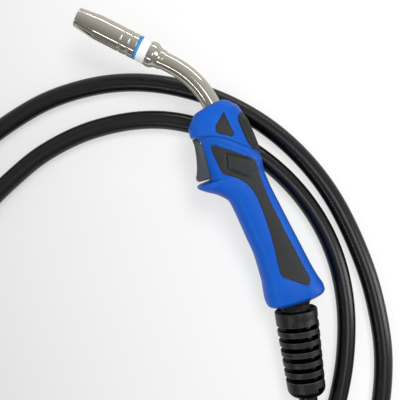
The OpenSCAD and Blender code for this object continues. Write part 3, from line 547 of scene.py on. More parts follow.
INLAY = from_top([
    [19.4, 13.6, 15.2], [20.1, 12.2, 16.6], [21.5, 10.7, 17.4], [24, 7.3, 17.6],
    [27.5, 2.7, 17.2], [31, -2.1, 16.5], [32.5, -3.7, 16.2], [34.5, -4.4, 15.8],
    [38, -4.5, 15.1], [53, -3.6, 12.3],
    [67, -2.9, 9.6], [-107, -2.9, 7.5], [-95, -3.5, 5.5], [-84, -4.6, 4], [-75.5, -7.0, 3.1],
    [-69, -10.6, 3], [-64, -16, 3.1], [-61.5, -19.3, 3.1], [-59.3, -23, 3.1], [-58.2, -24.7, 3.1],
    [-57, -25.7, 3], [-54.5, -26.4, 2.3], [-52, -26.8, 0.2], [-47, -27.5, -6.3],
    [-40, -28.4, -15.6], [-35.5, -28.7, -22.2], [-33.4, -28.5, -24.9], [-32.7, -27.4, -25.7]
])
PLATE = from_top([
    [-30.5, -10.4, -9], [-29, -12.5, -7.7], [-24.7, -20, -8.4], [-22.5, -21, -8.8],
    [-19.6, -20.4, -9.2], [-15, -16, -10], [-10.4, -11.4, -10.4]
])
PAD = from_top([
    [-51.5, 9.4, 0], [-48.7, 7.6, 0], [-45.4, 3.7, 0], [-41, 1.5, 0], [-29, -0.2, 0],
    [-19.3, -1.1, 0], [-16.5, 0.2, 0], [-14.5, 2.6, 0]
])


def column(table, number, y):
    """The smooth curve through one column of a table."""
    return monotone(table[:, 0], table[:, number], np.asarray(y, float))


def section(y):
    """(middle x, half width, half thickness) of the handle at the distances y."""
    front, back = column(STATIONS, 1, y), column(STATIONS, 2, y)
    return (front + back) / 2, (back - front) / 2, HANDLE_T / 2 - column(STATIONS, 3, y)


def bulge(v):
    """sign(v) |v| ^ (2 / power): cosine and sine become those of a superellipse."""
    return np.sign(v) * np.abs(v) ** (2 / SKIN_POWER)


def even_angles(count):
    """Angles from 0 to 180 degrees whose points lie evenly spaced along a superellipse."""
    a = np.linspace(0, np.pi, 4001)
    step = np.hypot(np.diff(bulge(np.cos(a))), np.diff(bulge(np.sin(a))))
    share = np.concatenate([[0], np.cumsum(step)]) / step.sum()
    return np.interp(np.linspace(0, 1, count), share, a)


def level_of(x, y):
    """Height of the skin over the parting plane: half_t (1 - |x - mid| / half_w ^ p) ^ (1 / p)."""
    mid, half_w, half_t = section(y)
    c = np.clip(np.abs(x - mid) / half_w, 0, 1)
    return half_t * (1 - c ** SKIN_POWER) ** (1 / SKIN_POWER)


print("handle is", round(2 * section(12)[1].item()), "mm wide at the butt")

# %% [markdown]
# A shell is its skin, a layer 1.4 mm thick with all the fine form, laid over what the CAD has
# inside: ribs, screw posts, the socket for the ball. The layer is the dense outer form less a form
# drawn in by the same amount; the inside is the CAD's own solid, cut back to just under the layer.

# %% Handle shells
SKIN = 1.4
UNDER_SKIN = 1.2
HOOD = np.array([(-48, 164.2), (-41.3, 164.4), (-34.8, 163.9), (-23.7, 160.7), (-15.3, 156.7),
                 (-7.5, 150.9), (0.3, 144.6), (5.9, 138.9), (12, 132)])
LIP_HIGH, LIP_WIDE = 0.45, 1.3
BAND_DEEP, COVE_DEEP = 0.8, 0.4
COVE_AT, COVE_FADES = 4.6, 26
GUARD = np.array([(-48.3, 121.5), (-44.5, 121), (-38.5, 119.8), (-32.5, 120.6), (-28.5, 123.5)])
RIDGE_HIGH, RIDGE_WIDE = 0.6, 1.7
SEAM_DEEP, SEAM_WIDE = 0.3, 0.7


def side_of(line, x, y):
    """Signed distance in mm from a line of points: above it (towards the head) is positive."""
    p, q = line[:-1], line[1:]
    d = q - p
    dx, dy = x[..., None] - p[:, 0], y[..., None] - p[:, 1]
    u = np.clip((dx * d[:, 0] + dy * d[:, 1]) / (d ** 2).sum(1), 0, 1)
    far = np.hypot(dx - u * d[:, 0], dy - u * d[:, 1])
    nearest = far.argmin(-1)
    cross = d[nearest, 0] * (y - p[nearest, 1]) - d[nearest, 1] * (x - p[nearest, 0])
    return np.take_along_axis(far, nearest[..., None], -1)[..., 0] * np.sign(cross)


def fine_form(x, y, z):
    """How far the moulding stands out from the plain skin, in mm: the hood's lip with a band
    sunk below it, a ridge out to the finger guard, and a hairline chamfer at the parting plane."""
    below = -side_of(HOOD, x, y)
    step = ease(below / LIP_WIDE)
    lip = LIP_HIGH * np.exp(-(np.minimum(below, 0) / (2 * LIP_WIDE)) ** 2) * (1 - step)
    sunk = BAND_DEEP * step + COVE_DEEP * ease((below - COVE_AT) / LIP_WIDE)
    steps = lip - sunk * (1 - ease((below - COVE_AT - 2) / COVE_FADES))
    over = side_of(GUARD, x, y)
    ridge = RIDGE_HIGH * np.exp(-(over / RIDGE_WIDE) ** 2) * ease((-24 - x) / 8)
    seam = SEAM_DEEP * (1 - ease(z / SEAM_WIDE))
    return steps * ease((z - 1) / 3) + ridge * ease((y - 112) / 4) - seam


def half_form(drawn_in, floor, step, around):
    """Grid of half the handle over the parting plane, from the height floor up. Drawn in, each
    section keeps the greatest inset within that distance of it, so that the layer is as thick
    under a step."""
    start, end = BUTT_Y + drawn_in, HEAD_Y - 0.01 - drawn_in
    y = np.linspace(start, end, int((end - start) / step) + 1)
    near = np.linspace(-drawn_in, drawn_in, 15) if drawn_in else np.zeros(1)
    mid, half_w, half_t = section(np.clip(y[:, None] + near, BUTT_Y, HEAD_Y - 0.01))
    front, back = (mid - half_w).max(1) + drawn_in, (mid + half_w).min(1) - drawn_in
    thick = half_t.min(1) - drawn_in
    a = even_angles(around)
    c, s = bulge(np.cos(a)), bulge(np.sin(a))

    def points(grow):
        return np.stack([
            ((front + back) / 2)[:, None] + ((back - front) / 2)[:, None] * c + grow * c,
            np.broadcast_to(y[:, None], (len(y), around)), thick[:, None] * s + grow * s], -1)

    plain = points(0)
    if not drawn_in:
        plain = points(fine_form(*np.moveaxis(plain, -1, 0)))
    plain[..., 2] = np.maximum(plain[..., 2], 0)
    if floor >= 0:
        return plain + [0, 0, floor]
    base = plain[:, [-1, 0]].copy()
    base[..., 2] = floor
    return np.concatenate([plain, base], 1)


def mirrored(place, side):
    """The same placing for the left half (side 1) or the right half (side -1)."""
    return lambda points: place(np.asarray(points) * [1, 1, side])


def rounded(profile, radius, steps=4, closed=True):
    """The corners of a profile rounded off by a quadratic curve (1-t)^2 p + 2t(1-t) q + t^2 r,
    with one more point just outside each corner, which keeps the flats flat when shaded."""
    p = np.asarray(profile, float)
    before, after = np.roll(p, 1, 0) - p, np.roll(p, -1, 0) - p
    lb, la = np.linalg.norm(before, axis=1), np.linalg.norm(after, axis=1)
    cut = np.minimum(radius, 0.4 * np.minimum(lb, la))[:, None]
    start, end = p + before / lb[:, None] * cut, p + after / la[:, None] * cut
    t = np.linspace(0, 1, steps + 1)[:, None]
    curve = [(1 - t) ** 2 * s + 2 * t * (1 - t) * q + t * t * e for s, q, e in zip(start, p, end)]
    guard = [np.concatenate([[s + (s - q) * 0.2], c, [e + (e - q) * 0.2]])
             for s, q, e, c in zip(start, p, end, curve)]
    if not closed:
        guard[0], guard[-1] = p[:1], p[-1:]
    return np.concatenate(guard)


def block(low, high):
    """Grid of an upright block between two corners, as four columns and two rows."""
    (x0, y0, z0), (x1, y1, z1) = low, high
    return np.array([[(x0, y0, z0), (x1, y0, z0), (x1, y0, z1), (x0, y0, z1)],
                     [(x0, y1, z0), (x1, y1, z0), (x1, y1, z1), (x0, y1, z1)]], float)


PATCH_STEP = 0.5      # rows of a patch of skin
END_RIM = 0.12        # how far in from its two ends the first row already counts
FORM_FROM = 1.5       # a patch's form fades in over this distance from its outline


def dense(table, step):
    """Distances from end to end of a table."""
    return np.linspace(table[0, 0], table[-1, 0], int((table[-1, 0] - table[0, 0]) / step) + 1)


def rolled(inside, radius):
    """Height lost near an outline: r - sqrt(r^2 - (r - d)^2), the quarter round of an edge."""
    d = np.clip(inside, 0, radius)
    return radius - np.sqrt(radius ** 2 - (radius - d) ** 2)


def spread_ends(y, spread):
    """The same distances with the first and the last moved outwards."""
    moved = y.copy()
    moved[0] -= spread
    moved[-1] += spread
    return moved


def raised(y, inside, high, roll, form):
    """Height over the skin: high, less the rim rounded by roll, plus the form inside of it."""
    ends = np.minimum(y - y[0], y[-1] - y)
    rim = rolled(np.minimum(inside, ends + END_RIM), roll) if roll else 0
    return high - rim + form * ease(inside / FORM_FROM)


def patch(table, high, deep, spread, roll, form=None, columns=44):
    """Grid of a piece of skin between the two edges of a table, from deep under the skin to high
    over it, its upper edge rounded by roll and its face shaped by form(x, y)."""
    y = dense(table, PATCH_STEP)[:, None]
    front, back = column(table, 1, y) - spread, column(table, 2, y) + spread
    x = front + (back - front) * (1 - np.cos(np.linspace(0, np.pi, columns))) / 2
    lean = [np.hypot(1, np.gradient(edge[:, 0], y[:, 0]))[:, None] for edge in (front, back)]
    inside = np.minimum((x - front) / lean[0], (back - x) / lean[1])
    rows = np.broadcast_to(spread_ends(y, spread), x.shape)
    base = level_of(x, np.broadcast_to(y, x.shape))
    top = base + raised(y, inside, high, roll, form(x, rows) if form else 0)
    return np.concatenate([np.stack([x, rows, top], -1),
                           np.stack([x, rows, base - deep], -1)[:, ::-1]], 1)


def spine_patch(high, deep, spread, roll, form=None, columns=90):
    """The same for the thumb pad, which wraps over the spine from one side to the other."""
    y = dense(PAD, PATCH_STEP)[:, None]
    edge = column(PAD, 1, y) - spread
    mid, half_w, half_t = section(y)
    reach = np.arccos(np.clip((edge - mid) / half_w, 0.02, 0.995) ** (SKIN_POWER / 2))
    a = reach * np.sin(np.linspace(-np.pi / 2, np.pi / 2, columns))
    c, s = bulge(np.cos(a)), bulge(np.sin(a))
    x, z = mid + half_w * c, half_t * s
    inside = np.hypot(x - (mid + half_w * bulge(np.cos(reach))),
                      np.abs(z) - half_t * bulge(np.sin(reach)))
    inside /= np.hypot(1, np.gradient(edge[:, 0], y[:, 0]))[:, None]
    grow = raised(y, inside, high, roll, form(x, y, z) if form else 0)
    rows = np.broadcast_to(spread_ends(y, spread), x.shape)
    outer, inner = (np.stack([mid + (half_w + g) * c, rows, (half_t + g) * s], -1)
                    for g in (grow, -deep))
    return np.concatenate([outer, inner[:, ::-1]], 1)


CORE_LEAN = math.radians(6.50533)
CORE_L = 168.585
BEND_R = 77.0
BEND_ANGLE = math.radians(39.8947)
BALL_IN_HANDLE = np.array([3.0, 12.0, 0.0])


def from_core(points):
    """The straight line from the ball through the handle, with Y running to the head."""
    return from_torch(spun(points, 2, CORE_LEAN) + BALL_IN_HANDLE)


def along_neck(points):
    """The same line where it goes on round the bend: beyond CORE_L, Y is measured along the
    middle of the neck, and past the bend it runs straight to the mouth."""
    x, y, z = np.moveaxis(np.asarray(points, float), -1, 0)
    bend_length = BEND_R * BEND_ANGLE
    angle = np.clip((y - CORE_L) / BEND_R, 0, BEND_ANGLE)
    rest = np.maximum(y - CORE_L - bend_length, 0) + np.minimum(y - CORE_L, 0)
    out = BEND_R + x
    return from_core(np.stack([
        -BEND_R + out * np.cos(angle) - rest * np.sin(angle),
        CORE_L + out * np.sin(angle) + rest * np.cos(angle), z], -1))


FRONT = CORE_L + BEND_R * BEND_ANGLE


def from_front(points):
    """Y runs on from the end of the bend to the mouth of the nozzle."""
    return along_neck(np.asarray(points, float) + [0, FRONT, 0])


def across(place, x, y, lift=0.0):
    """Lays a turned piece across the handle: its own Y becomes Z, and its middle goes to x, y."""
    return lambda p: place(np.stack([p[..., 0] + x, p[..., 2] + y, p[..., 1] + lift], -1))


SCREWS = [(-14, 31), (-18, 77), (-30, HEAD_Y - 71), (-30.5, HEAD_Y - 14.5), (-4.5, HEAD_Y - 11)]
POCKET = 1.45
GAP = 0.15
PROUD = 6.0               # a pocket's cutter reaches this far out of the skin
FINE, COARSE = 0.5, 1.2   # row steps of the outer and of the inner forms
TRIGGER_SLOT = block((-70, HEAD_Y - 61, -1), (-25.6, HEAD_Y - 23.4, 11.4))
SOCKET_R = 16.8
CABLE_WAY = [(10.5, 12), (10.5, 24)]
SCREW_WAY = [(3.1, 0), (3.1, 25)]
half_turn = np.linspace(0.01, np.pi - 0.01, 48)
SOCKET = SOCKET_R * np.stack([np.sin(half_turn), -np.cos(half_turn)], -1)
NECK_WAY = [(7.62, y) for y in np.linspace(CORE_L - 30, CORE_L + 40, 30)]


def shell(name, node, side):
    """One half of the handle: skin layer and the CAD's inside, less the pockets."""
    here = mirrored(from_torch, side)
    layer = solid(name, half_form(0, 0.02, FINE, 150), here)
    combine(layer, solid("inset", half_form(SKIN, -3, COARSE, 60), here), "DIFFERENCE")
    inside = bpy.data.objects.new("inside", nodes[node].data.copy())
    bpy.context.scene.collection.objects.link(inside)
    weld = inside.modifiers.new("weld", "WELD")
    weld.merge_threshold = 1e-6
    combine(inside, solid("trim", half_form(UNDER_SKIN, -30, COARSE, 60), here), "INTERSECT")
    combine(layer, inside, "UNION")
    cuts = [solid("inlay_cut", patch(INLAY, PROUD, POCKET, GAP, 0), here),
            solid("pad_cut", spine_patch(PROUD, POCKET, GAP, 0), here),
            solid("slot_cut", TRIGGER_SLOT, here),
            solid("socket_cut", turned(SOCKET, 96), from_core),
            solid("cable_way", turned(CABLE_WAY, 64), from_core),
            solid("neck_way", turned(NECK_WAY, 96), along_neck)]
    if side > 0:
        cuts.append(solid("plate_cut", patch(PLATE, PROUD, POCKET, GAP, 0, columns=24), here))
    else:
        cuts += [solid("screw_cut", turned(SCREW_WAY, 48), across(here, *screw, lift=12.0))
                 for screw in SCREWS]
    for cut in cuts:
        combine(layer, cut, "DIFFERENCE")
    soften(layer, 32)
    return stand_for(layer, "shell_blue", "torch", node)


left = shell("handle_left_shell", "handle_left", 1)
right = shell("handle_right_shell", "handle_right", -1)
print("shells have", len(left.data.polygons), "and", len(right.data.polygons), "faces")

# %% [markdown]
# The soft parts lie in pockets of the shells and stand half a millimetre proud, each with a
# rounded rim: an inlay in both sides with a raised field for the fingers, a pad for the thumb with
# lengthwise ribs that wraps over the spine, and a small blank plate.

# %% Inlays, plate and thumb pad
FIELD = np.array([(-18.3, 143.1), (12, 126.2), (12, 105.5), (-9.2, 121.3), (-20.9, 131.6)])


def inside_of(corners, x, y):
    """Distance in from the nearest side of a convex outline given clockwise; negative outside."""
    edge = np.roll(corners, -1, 0) - corners
    edge /= np.linalg.norm(edge, axis=1)[:, None]
    return np.min([(y - c[1]) * -e[0] + (x - c[0]) * e[1] for c, e in zip(corners, edge)], axis=0)


INLAY_DEEP = 1.3
FIELD_HIGH = 0.2
GROOVE_DEEP, GROOVE_WIDE = 0.95, 0.95
CREASE_DEEP, CREASE_SLOPE = 0.25, 0.35
RIB_HIGH, RIB_PITCH = 0.45, 4.2


def inlay_form(x, y):
    """A raised field, open towards the spine, whose two sides have a groove that fades out, and
    a low crease near the foot."""
    inside = inside_of(FIELD, x, y)
    fade = ease((y - 115) / 8) * ease((1.5 - x) / 7)
    groove = GROOVE_DEEP * np.exp(-(inside / GROOVE_WIDE) ** 2)
    up = y - CREASE_SLOPE * x
    crease = CREASE_DEEP * ease((up - 27) / 1.5) * (1 - ease((up - 29) / 12))
    return (FIELD_HIGH * ease((inside - 0.5) / 1.5) - groove) * fade - crease


def pad_form(x, y, z):
    """Three ribs along the thumb pad on each side, and a step near its upper end."""
    z = np.abs(z)
    ribs = RIB_HIGH * np.cos(2 * np.pi * (z - 9.5) / RIB_PITCH) * ease((19 - z) / 4)
    ends = ease((y - 137) / 4) * ease((168 - y) / 4)
    return ribs * ends - 0.4 * ease((y - 166.5) / 1.2)


for side, name in ((1, "left"), (-1, "right")):
    inlay = solid("inlay_" + name, patch(INLAY, 0.5, INLAY_DEEP, 0, 0.7, inlay_form, 72),
                  mirrored(from_torch, side))
    stand_for(soften(inlay, 50), "soft_grip", "torch", "grip_inlay_" + name)
plate = solid("blank_plate", patch(PLATE, 0.1, INLAY_DEEP, 0, 0.4, columns=36), from_torch)
stand_for(soften(plate, 50), "plate_black", "torch", "name_plate")
pad = solid("thumb_rest", spine_patch(0.8, INLAY_DEEP, 0, 0.8, pad_form), from_torch)
stand_for(soften(pad, 50), "soft_pad", "torch", "thumb_pad")
print("thumb pad has", len(pad.data.polygons), "faces")

# %% [markdown]
# The neck and nozzle are turned parts. Each is a profile of radius and distance, with its corners
# rounded, turned about the neck's middle line. The neck itself is the same profile carried round
# the bend. The spring is a small circle carried round a helix.

# %% Neck, seal and nozzle
SEAT_Y = 20.8
SEAL_Y = 28.2
NOZZLE_Y = 30.7
MOUTH_Y = 84.7
NECK_R, NECK_BORE_R = 7.5, 6.5
SLEEVE_R, GROOVE_R = 10.3, 9.85
SPRING_R, SPRING_WIRE_R, SPRING_TURNS, SPRING_L = 8.2, 0.5, 4, 12
neck_y = np.linspace(124.3, FRONT + SEAT_Y - 0.1, 90)
neck = lathe("neck_tube_bent", [(NECK_R, y) for y in neck_y]
             + [(NECK_BORE_R, y) for y in neck_y[::-1]], along_neck)
stand_for(soften(neck, 60), "nickel_plate", "torch", "neck_tube")
grooves = [(r, NOZZLE_Y + low + up) for low in (12, 5) for r, up in (
    (SLEEVE_R, 2), (GROOVE_R, 1.4), (GROOVE_R, 0.6), (SLEEVE_R, 0))]
for name, node, slot, body, rounding, profile in (
        ("neck_collar_turned", "neck_collar", "nickel_plate", "torch", 0.6, [
            (7.55, SEAT_Y - 14), (8.2, SEAT_Y - 14), (8.4, SEAT_Y - 10), (9.1, SEAT_Y - 8.2),
            (10.1, SEAT_Y - 6.6), (10.8, SEAT_Y - 5), (10.8, SEAT_Y - 2), (10.3, SEAT_Y - 0.6),
            (10.3, SEAT_Y), (7.55, SEAT_Y)]),
        ("insulator_turned", "insulator_ring", "insulator_white", "torch", 0.35, [
            (5.6, SEAT_Y), (10.3, SEAT_Y), (10.3, SEAL_Y), (7.4, SEAL_Y), (7.4, 45.3),
            (5.6, 45.3)]),
        ("seal_turned", "seal_ring", "seal_blue", "torch", 0.3, [
            (7.45, SEAL_Y), (9.7, SEAL_Y), (10.4, SEAL_Y + 0.5), (10.4, NOZZLE_Y - 0.7),
            (9.9, NOZZLE_Y - 0.3), (7.45, NOZZLE_Y - 0.3)]),
        ("gas_nozzle_turned", "gas_nozzle", "nickel_plate", "nozzle", 0.5, [
            (7.7, MOUTH_Y), (8.2, MOUTH_Y - 0.5), (8.2, MOUTH_Y - 1.2),
            (SLEEVE_R, MOUTH_Y - 18.2), *grooves, (SLEEVE_R, NOZZLE_Y + 0.4), (9.9, NOZZLE_Y),
            (8.8, NOZZLE_Y), (8.8, MOUTH_Y - 20.2), (7, MOUTH_Y - 3.2), (7, MOUTH_Y)])):
    piece = lathe(name, rounded(profile, rounding), from_front)
    stand_for(soften(piece, 60), slot, body, node)
turn = np.linspace(0, SPRING_TURNS * 2 * np.pi, SPRING_TURNS * 48 + 1)[:, None]
wire = np.linspace(0, 2 * np.pi, 12, endpoint=False)
reach = SPRING_R + SPRING_WIRE_R * np.cos(wire)
spring = solid("nozzle_spring_wound", np.stack([
    reach * np.cos(turn), NOZZLE_Y + 2 + SPRING_L * turn / turn[-1] + SPRING_WIRE_R * np.sin(wire),
    -reach * np.sin(turn)], -1), from_front)
stand_for(soften(spring, 60), "spring_steel", "torch", "nozzle_spring")
print("mouth of the nozzle at", from_front([0, MOUTH_Y, 0]).round(4))

# %% [markdown]
# The ball turns in the butt, and the slotted support turns on the ball's stub. The support is
# turned first, then sawn from two opposite sides, and each saw cut takes a small chamfer with it.

# %% Ball and cable support
SUPPORT_R = 18.4
TAPER_FROM, TAPER_TO = 29.8, 84.0
SKIN_R = (SUPPORT_R - 0.1, SUPPORT_R - 1.9)
SLOT_W = 4.1
SLOT_PITCH = 8.9
CHAMFER = 0.4
BALL_R, STUB_R, BALL_BORE_R = 16.5, 12.5, 9
RING_DEEP, RING_WIDE = 0.35, 0.35


def from_support(points):
    """Y runs from the ball down the support, which leans and drops a little."""
    return (spun(spun(points, 0, -SUPPORT_DROP), 2, math.pi - SUPPORT_BEND) + BALL) / 1000


def rolled_by(degrees):
    """Placing that first turns the points about Y by an angle."""
    return lambda points: from_support(spun(points, 1, math.radians(degrees)))


def skin_at(y):
    """Radius of the turned skin, which grows thinner evenly along the taper."""
    return SKIN_R[0] - (SKIN_R[0] - SKIN_R[1]) * max(y - TAPER_FROM, 0) / (TAPER_TO - TAPER_FROM)


ball_angle = np.linspace(math.atan2(11.98, -11.34), math.atan2(STUB_R, 10.77), 60)
ball_profile = np.array(
    [(BALL_R * math.sin(a), BALL_R * math.cos(a)) for a in ball_angle]
    + [(STUB_R, y) for y in np.linspace(10.9, 21.4, 40)]
    + [(12.2, 21.5), (BALL_BORE_R, 21.5), (BALL_BORE_R, 10), (BALL_BORE_R, 0)])
for ring in (8.6, 12.3, 13.7):
    near = np.exp(-((ball_profile[:, 1] - ring) / RING_WIDE) ** 2) * (ball_profile[:, 0] > 11)
    ball_profile[:, 0] -= RING_DEEP * near
ball = lathe("ball_turned", ball_profile, from_support)
stand_for(soften(ball, 40), "black_plastic", "swivel", "ball_joint")

relief = lathe("cable_support", np.concatenate([
    rounded([(11, 21.8), (12.55, 21.8), (12.55, 17.8), (16, 16.4), (16.4, 14.8), (17.2, 14.8),
             (SUPPORT_R, 15.7), (SUPPORT_R, 22)], 0.4, closed=False),
    [(skin_at(y), y) for y in np.linspace(22.4, TAPER_TO, 150)],
    rounded([(16.5, 84.5), (15.9, 87), (13.5, SUPPORT_L), (8.5, SUPPORT_L), (8.5, 79), (11, 79),
             (11, 70)], 0.8, closed=False)]), from_support, 160)
half = SLOT_W / 2
for count, turn_by, floor, first in ((6, 46, -3.5, 29.4), (7, 226, 7, 29.4 - SLOT_PITCH / 2)):
    for y in first + SLOT_PITCH * np.arange(count):
        r = skin_at(y)
        rim = [(r - CHAMFER - 0.6, half - 0.1), (r - CHAMFER, half),
               (r - 0.3 * CHAMFER, half + 0.3 * CHAMFER), (r + 0.02, half + CHAMFER),
               (r + 1, half + CHAMFER + 0.3)]
        rim = [(rim[0][0], y - rim[0][1])] + [(far, y + up) for far, up in rim] + [
            (far, y - up) for far, up in rim[:0:-1]]
        cut = lathe("saw_rim", rim, from_support, 160)
        side, saw = (solid(name, block((-30, y - reach, floor), (30, y + reach, 40)),
                           rolled_by(turn_by)) for name, reach in (("side", 8), ("saw", half)))
        combine(cut, side, "INTERSECT")
        combine(cut, saw, "UNION")
        combine(relief, cut, "DIFFERENCE")
WINDOW_R, WINDOW_HALF = 1.8, 2.4
around = np.linspace(0, 2 * np.pi, 40, endpoint=False)
window_x = WINDOW_R * np.cos(around) + WINDOW_HALF * np.sign(np.cos(around))
window_y = TAPER_TO + WINDOW_R * np.sin(around)
combine(relief, solid("window_cut", np.stack([
    np.stack([window_x, window_y, np.full(40, z)], -1) for z in (5.0, 30.0)]), rolled_by(-42)),
    "DIFFERENCE")
remember(relief, from_support)
stand_for(soften(relief, 33), "support_black", "support", "strain_relief")
print("support has", len(relief.data.polygons), "faces")

# %% [markdown]
# The trigger is a moulded lever: its side view, carried across the handle, with all edges rounded
# by drawing the outline in near both sides. Two pockets behind the finger face and the pin hole
# follow, then the pin and the two wires from the switch down to the cable.

# %% Trigger and wires
PIVOT = np.array([-34.6, HEAD_Y - 28.5])
TRIGGER_HALF = 10.0
EDGE = 1.3
CROWN = 0.6
PIN_R, PIN_HOLE_R, PIN_HALF = 1.48, 1.55, 11.9
WIRE_R = 0.8
lever = rounded([
    [-6.6, 4.4], [-6.3, 0], [-6.4, -3], [-7.4, -9.5], [-8.5, -14.5], [-9.8, -19.5], [-11.4, -24],
    [-13.1, -27.4], [-13, -29.4], [-11.8, -30.4], [3, -31], [4, -30], [3.8, -17], [5.2, -15.4],
    [5.2, -12.6], [3.8, -11], [4, 0], [3.4, 3.6], [2.4, 4.7]], 0.9)
along_outline = np.roll(lever, -1, 0) - np.roll(lever, 1, 0)
inward = np.stack([-along_outline[:, 1], along_outline[:, 0]], -1)
inward /= np.linalg.norm(inward, axis=1)[:, None]
bend = np.linspace(0, np.pi / 2, 6)
rim = EDGE * (1 - np.cos(bend))
levels = np.concatenate([rim - TRIGGER_HALF, np.linspace(-7, 7, 9), TRIGGER_HALF - rim[::-1]])
drawn = EDGE * (1 - np.sin(np.concatenate([bend, np.full(9, np.pi / 2), bend[::-1]])))
crown = CROWN * (levels / TRIGGER_HALF) ** 2
front_side = ease((-4 - lever[:, 0]) / 3)
lever_grid = np.stack([np.stack([
    *(PIVOT[:, None] + (lever + inward * d).T + np.array([[c], [0]]) * front_side),
    np.full(len(lever), z)], -1) for z, d, c in zip(levels, drawn, crown)])
trigger = solid("trigger_lever", lever_grid, from_torch)
for low in (3.0, -8.0):
    combine(trigger, solid("pocket", block(
        (PIVOT[0] - 4.6, PIVOT[1] - 28.8, low), (PIVOT[0] + 7.4, PIVOT[1] - 6.8, low + 5)),
        from_torch), "DIFFERENCE")
hole = turned([(PIN_HOLE_R, -12), (PIN_HOLE_R, 12)], 48)
combine(trigger, solid("pin_hole", hole, across(from_torch, *PIVOT)), "DIFFERENCE")
stand_for(soften(trigger, 38), "trigger_grey", "trigger", "trigger")
pin_profile = [(0.02, -PIN_HALF), (PIN_R, -PIN_HALF), (PIN_R, PIN_HALF), (0.02, PIN_HALF)]
pin = solid("trigger_pin_turned", turned(rounded(pin_profile, 0.3, closed=False), 48),
            across(from_torch, *PIVOT))
stand_for(soften(pin, 40), "spring_steel", "torch", "trigger_pin")
WIRES = np.array([
    (-24.5, 132), (-24.3, 126), (-22.8, 118), (-21.3, 112), (-19.9, 106), (-18.6, 96), (-17.6, 88),
    (-14.9, 82.5), (-12.3, 77.5), (-11.2, 72.5), (-10.1, 67.05)])
TERMINALS_Y = PIVOT[1] - 14 - 6.4 - 5
STRAIGHT_TO = 88
beyond = np.maximum(WIRES[:, 1] - STRAIGHT_TO, 0)
WIRES[:, 1] += beyond * ((TERMINALS_Y - STRAIGHT_TO) / (WIRES[0, 1] - STRAIGHT_TO) - 1)
for number, z in enumerate((-1.7, 1.7), 1):
    way = spline(np.column_stack([WIRES, np.full(len(WIRES), z)])[::-1], 1.5)
    wire_tube = tube(f"switch_wire_{number}", way, WIRE_R, 16, from_torch)
    stand_for(wire_tube, "wire_red", "torch", *(["switch_wires"] if number == 1 else []))
print("trigger has", len(trigger.data.polygons), "faces")

# %% [markdown]
# Each finish is a short node tree. Patterns are given by their real size in millimetres: a fine
# grain that bends the light (bump), and a broad cloud that shifts colour and roughness a little, as
# handling and moulding do. Convex edges get a little painted highlight, and hollows painted shade.

# %% Finishes


def finish(name, low, high, rough, grain_mm, grain_depth_mm, cloud_mm, metallic=0.0, ior=1.5,
           stretch=None, specular=0.35, edge=0.0, hollow_shade=0.0, painted_slot_shade=False):
    """Principled shader between two colours and two roughnesses by a broad noise, with a fine
    bump. stretch gives the pattern's scale along X, Y, Z of the piece's own straight frame. Convex
    edges get a painted highlight and hollows painted shade, each by its amount; faces that lie
    under a turned skin, the saw cuts, can be painted black as shade."""
    material, tree, output = new_material(name)
    own = add(tree, "Attribute", attribute_name="local_mm").outputs["Vector"]
    if stretch:
        where = add(tree, "VectorMath", {0: own, 1: tuple(0.001 * k for k in stretch)},
                    operation="MULTIPLY").outputs[0]
    else:
        where = add(tree, "TexCoord").outputs["Object"]
    grain = add(tree, "TexNoise", {
        "Vector": where, "Scale": 1000 / grain_mm, "Detail": 3.0, "Roughness": 0.6})
    cloud = add(tree, "TexNoise", {
        "Vector": where, "Scale": 1000 / cloud_mm, "Detail": 4.0, "Roughness": 0.55})
    spread = add(tree, "MapRange", {
        "Value": cloud.outputs["Fac"], "From Min": 0.3, "From Max": 0.7}).outputs[0]
    surface = add(tree, "Mix", {0: spread, 6: linear(low), 7: linear(high)},
                  data_type="RGBA").outputs[2]
    shine = add(tree, "MapRange", {
        "Value": spread, "To Min": rough[0], "To Max": rough[1]}).outputs[0]
    bump = add(tree, "Bump", {
        "Height": grain.outputs["Fac"], "Strength": 1.0, "Distance": grain_depth_mm / 1000})
    bent = add(tree, "NewGeometry").outputs["Pointiness"]
    # painted light: black mixed into hollows as painted shade, and white onto convex edges as
    # painted highlight, by the surface's curvature
    for amount, least, most, shade in (
            (hollow_shade, 0.495, 0.44, "#000000"), (edge, 0.51, 0.6, "#FFFFFF")):
        if amount:
            share = add(tree, "MapRange", {
                "Value": bent, "From Min": least, "From Max": most, "To Max": amount}).outputs[0]
            surface = add(tree, "Mix", {0: share, 6: surface, 7: linear(shade)},
                          data_type="RGBA").outputs[2]
    # painted shade: faces deeper than the turned skin, the saw cuts, are painted near black and
    # lose their shine
    if painted_slot_shade:
        flat = add(tree, "VectorMath", {0: own, 1: (1, 0, 1)}, operation="MULTIPLY")
        far = add(tree, "VectorMath", {0: flat.outputs[0]}, operation="LENGTH")
        along = add(tree, "SeparateXYZ", {0: own})
        skin = add(tree, "MapRange", {
            "Value": along.outputs["Y"], "From Min": TAPER_FROM, "From Max": TAPER_TO,
            "To Min": SKIN_R[0], "To Max": SKIN_R[1]})
        under = add(tree, "Math", {0: skin.outputs[0], 1: far.outputs["Value"]},
                    operation="SUBTRACT")
        cut = add(tree, "MapRange", {
            "Value": under.outputs[0], "From Min": 0.08, "From Max": 0.35}).outputs[0]
        surface = add(tree, "Mix", {0: cut, 6: surface, 7: linear("#020202")},
                      data_type="RGBA").outputs[2]
        specular = add(tree, "MapRange", {
            "Value": cut, "To Min": specular, "To Max": 0.05}).outputs[0]
    shader = add(tree, "BsdfPrincipled", {
        "Base Color": surface, "Roughness": shine, "Normal": bump.outputs[0], "Metallic": metallic,
        "IOR": ior, "Specular IOR Level": specular})
    tree.links.new(shader.outputs[0], output.inputs["Surface"])
    return material


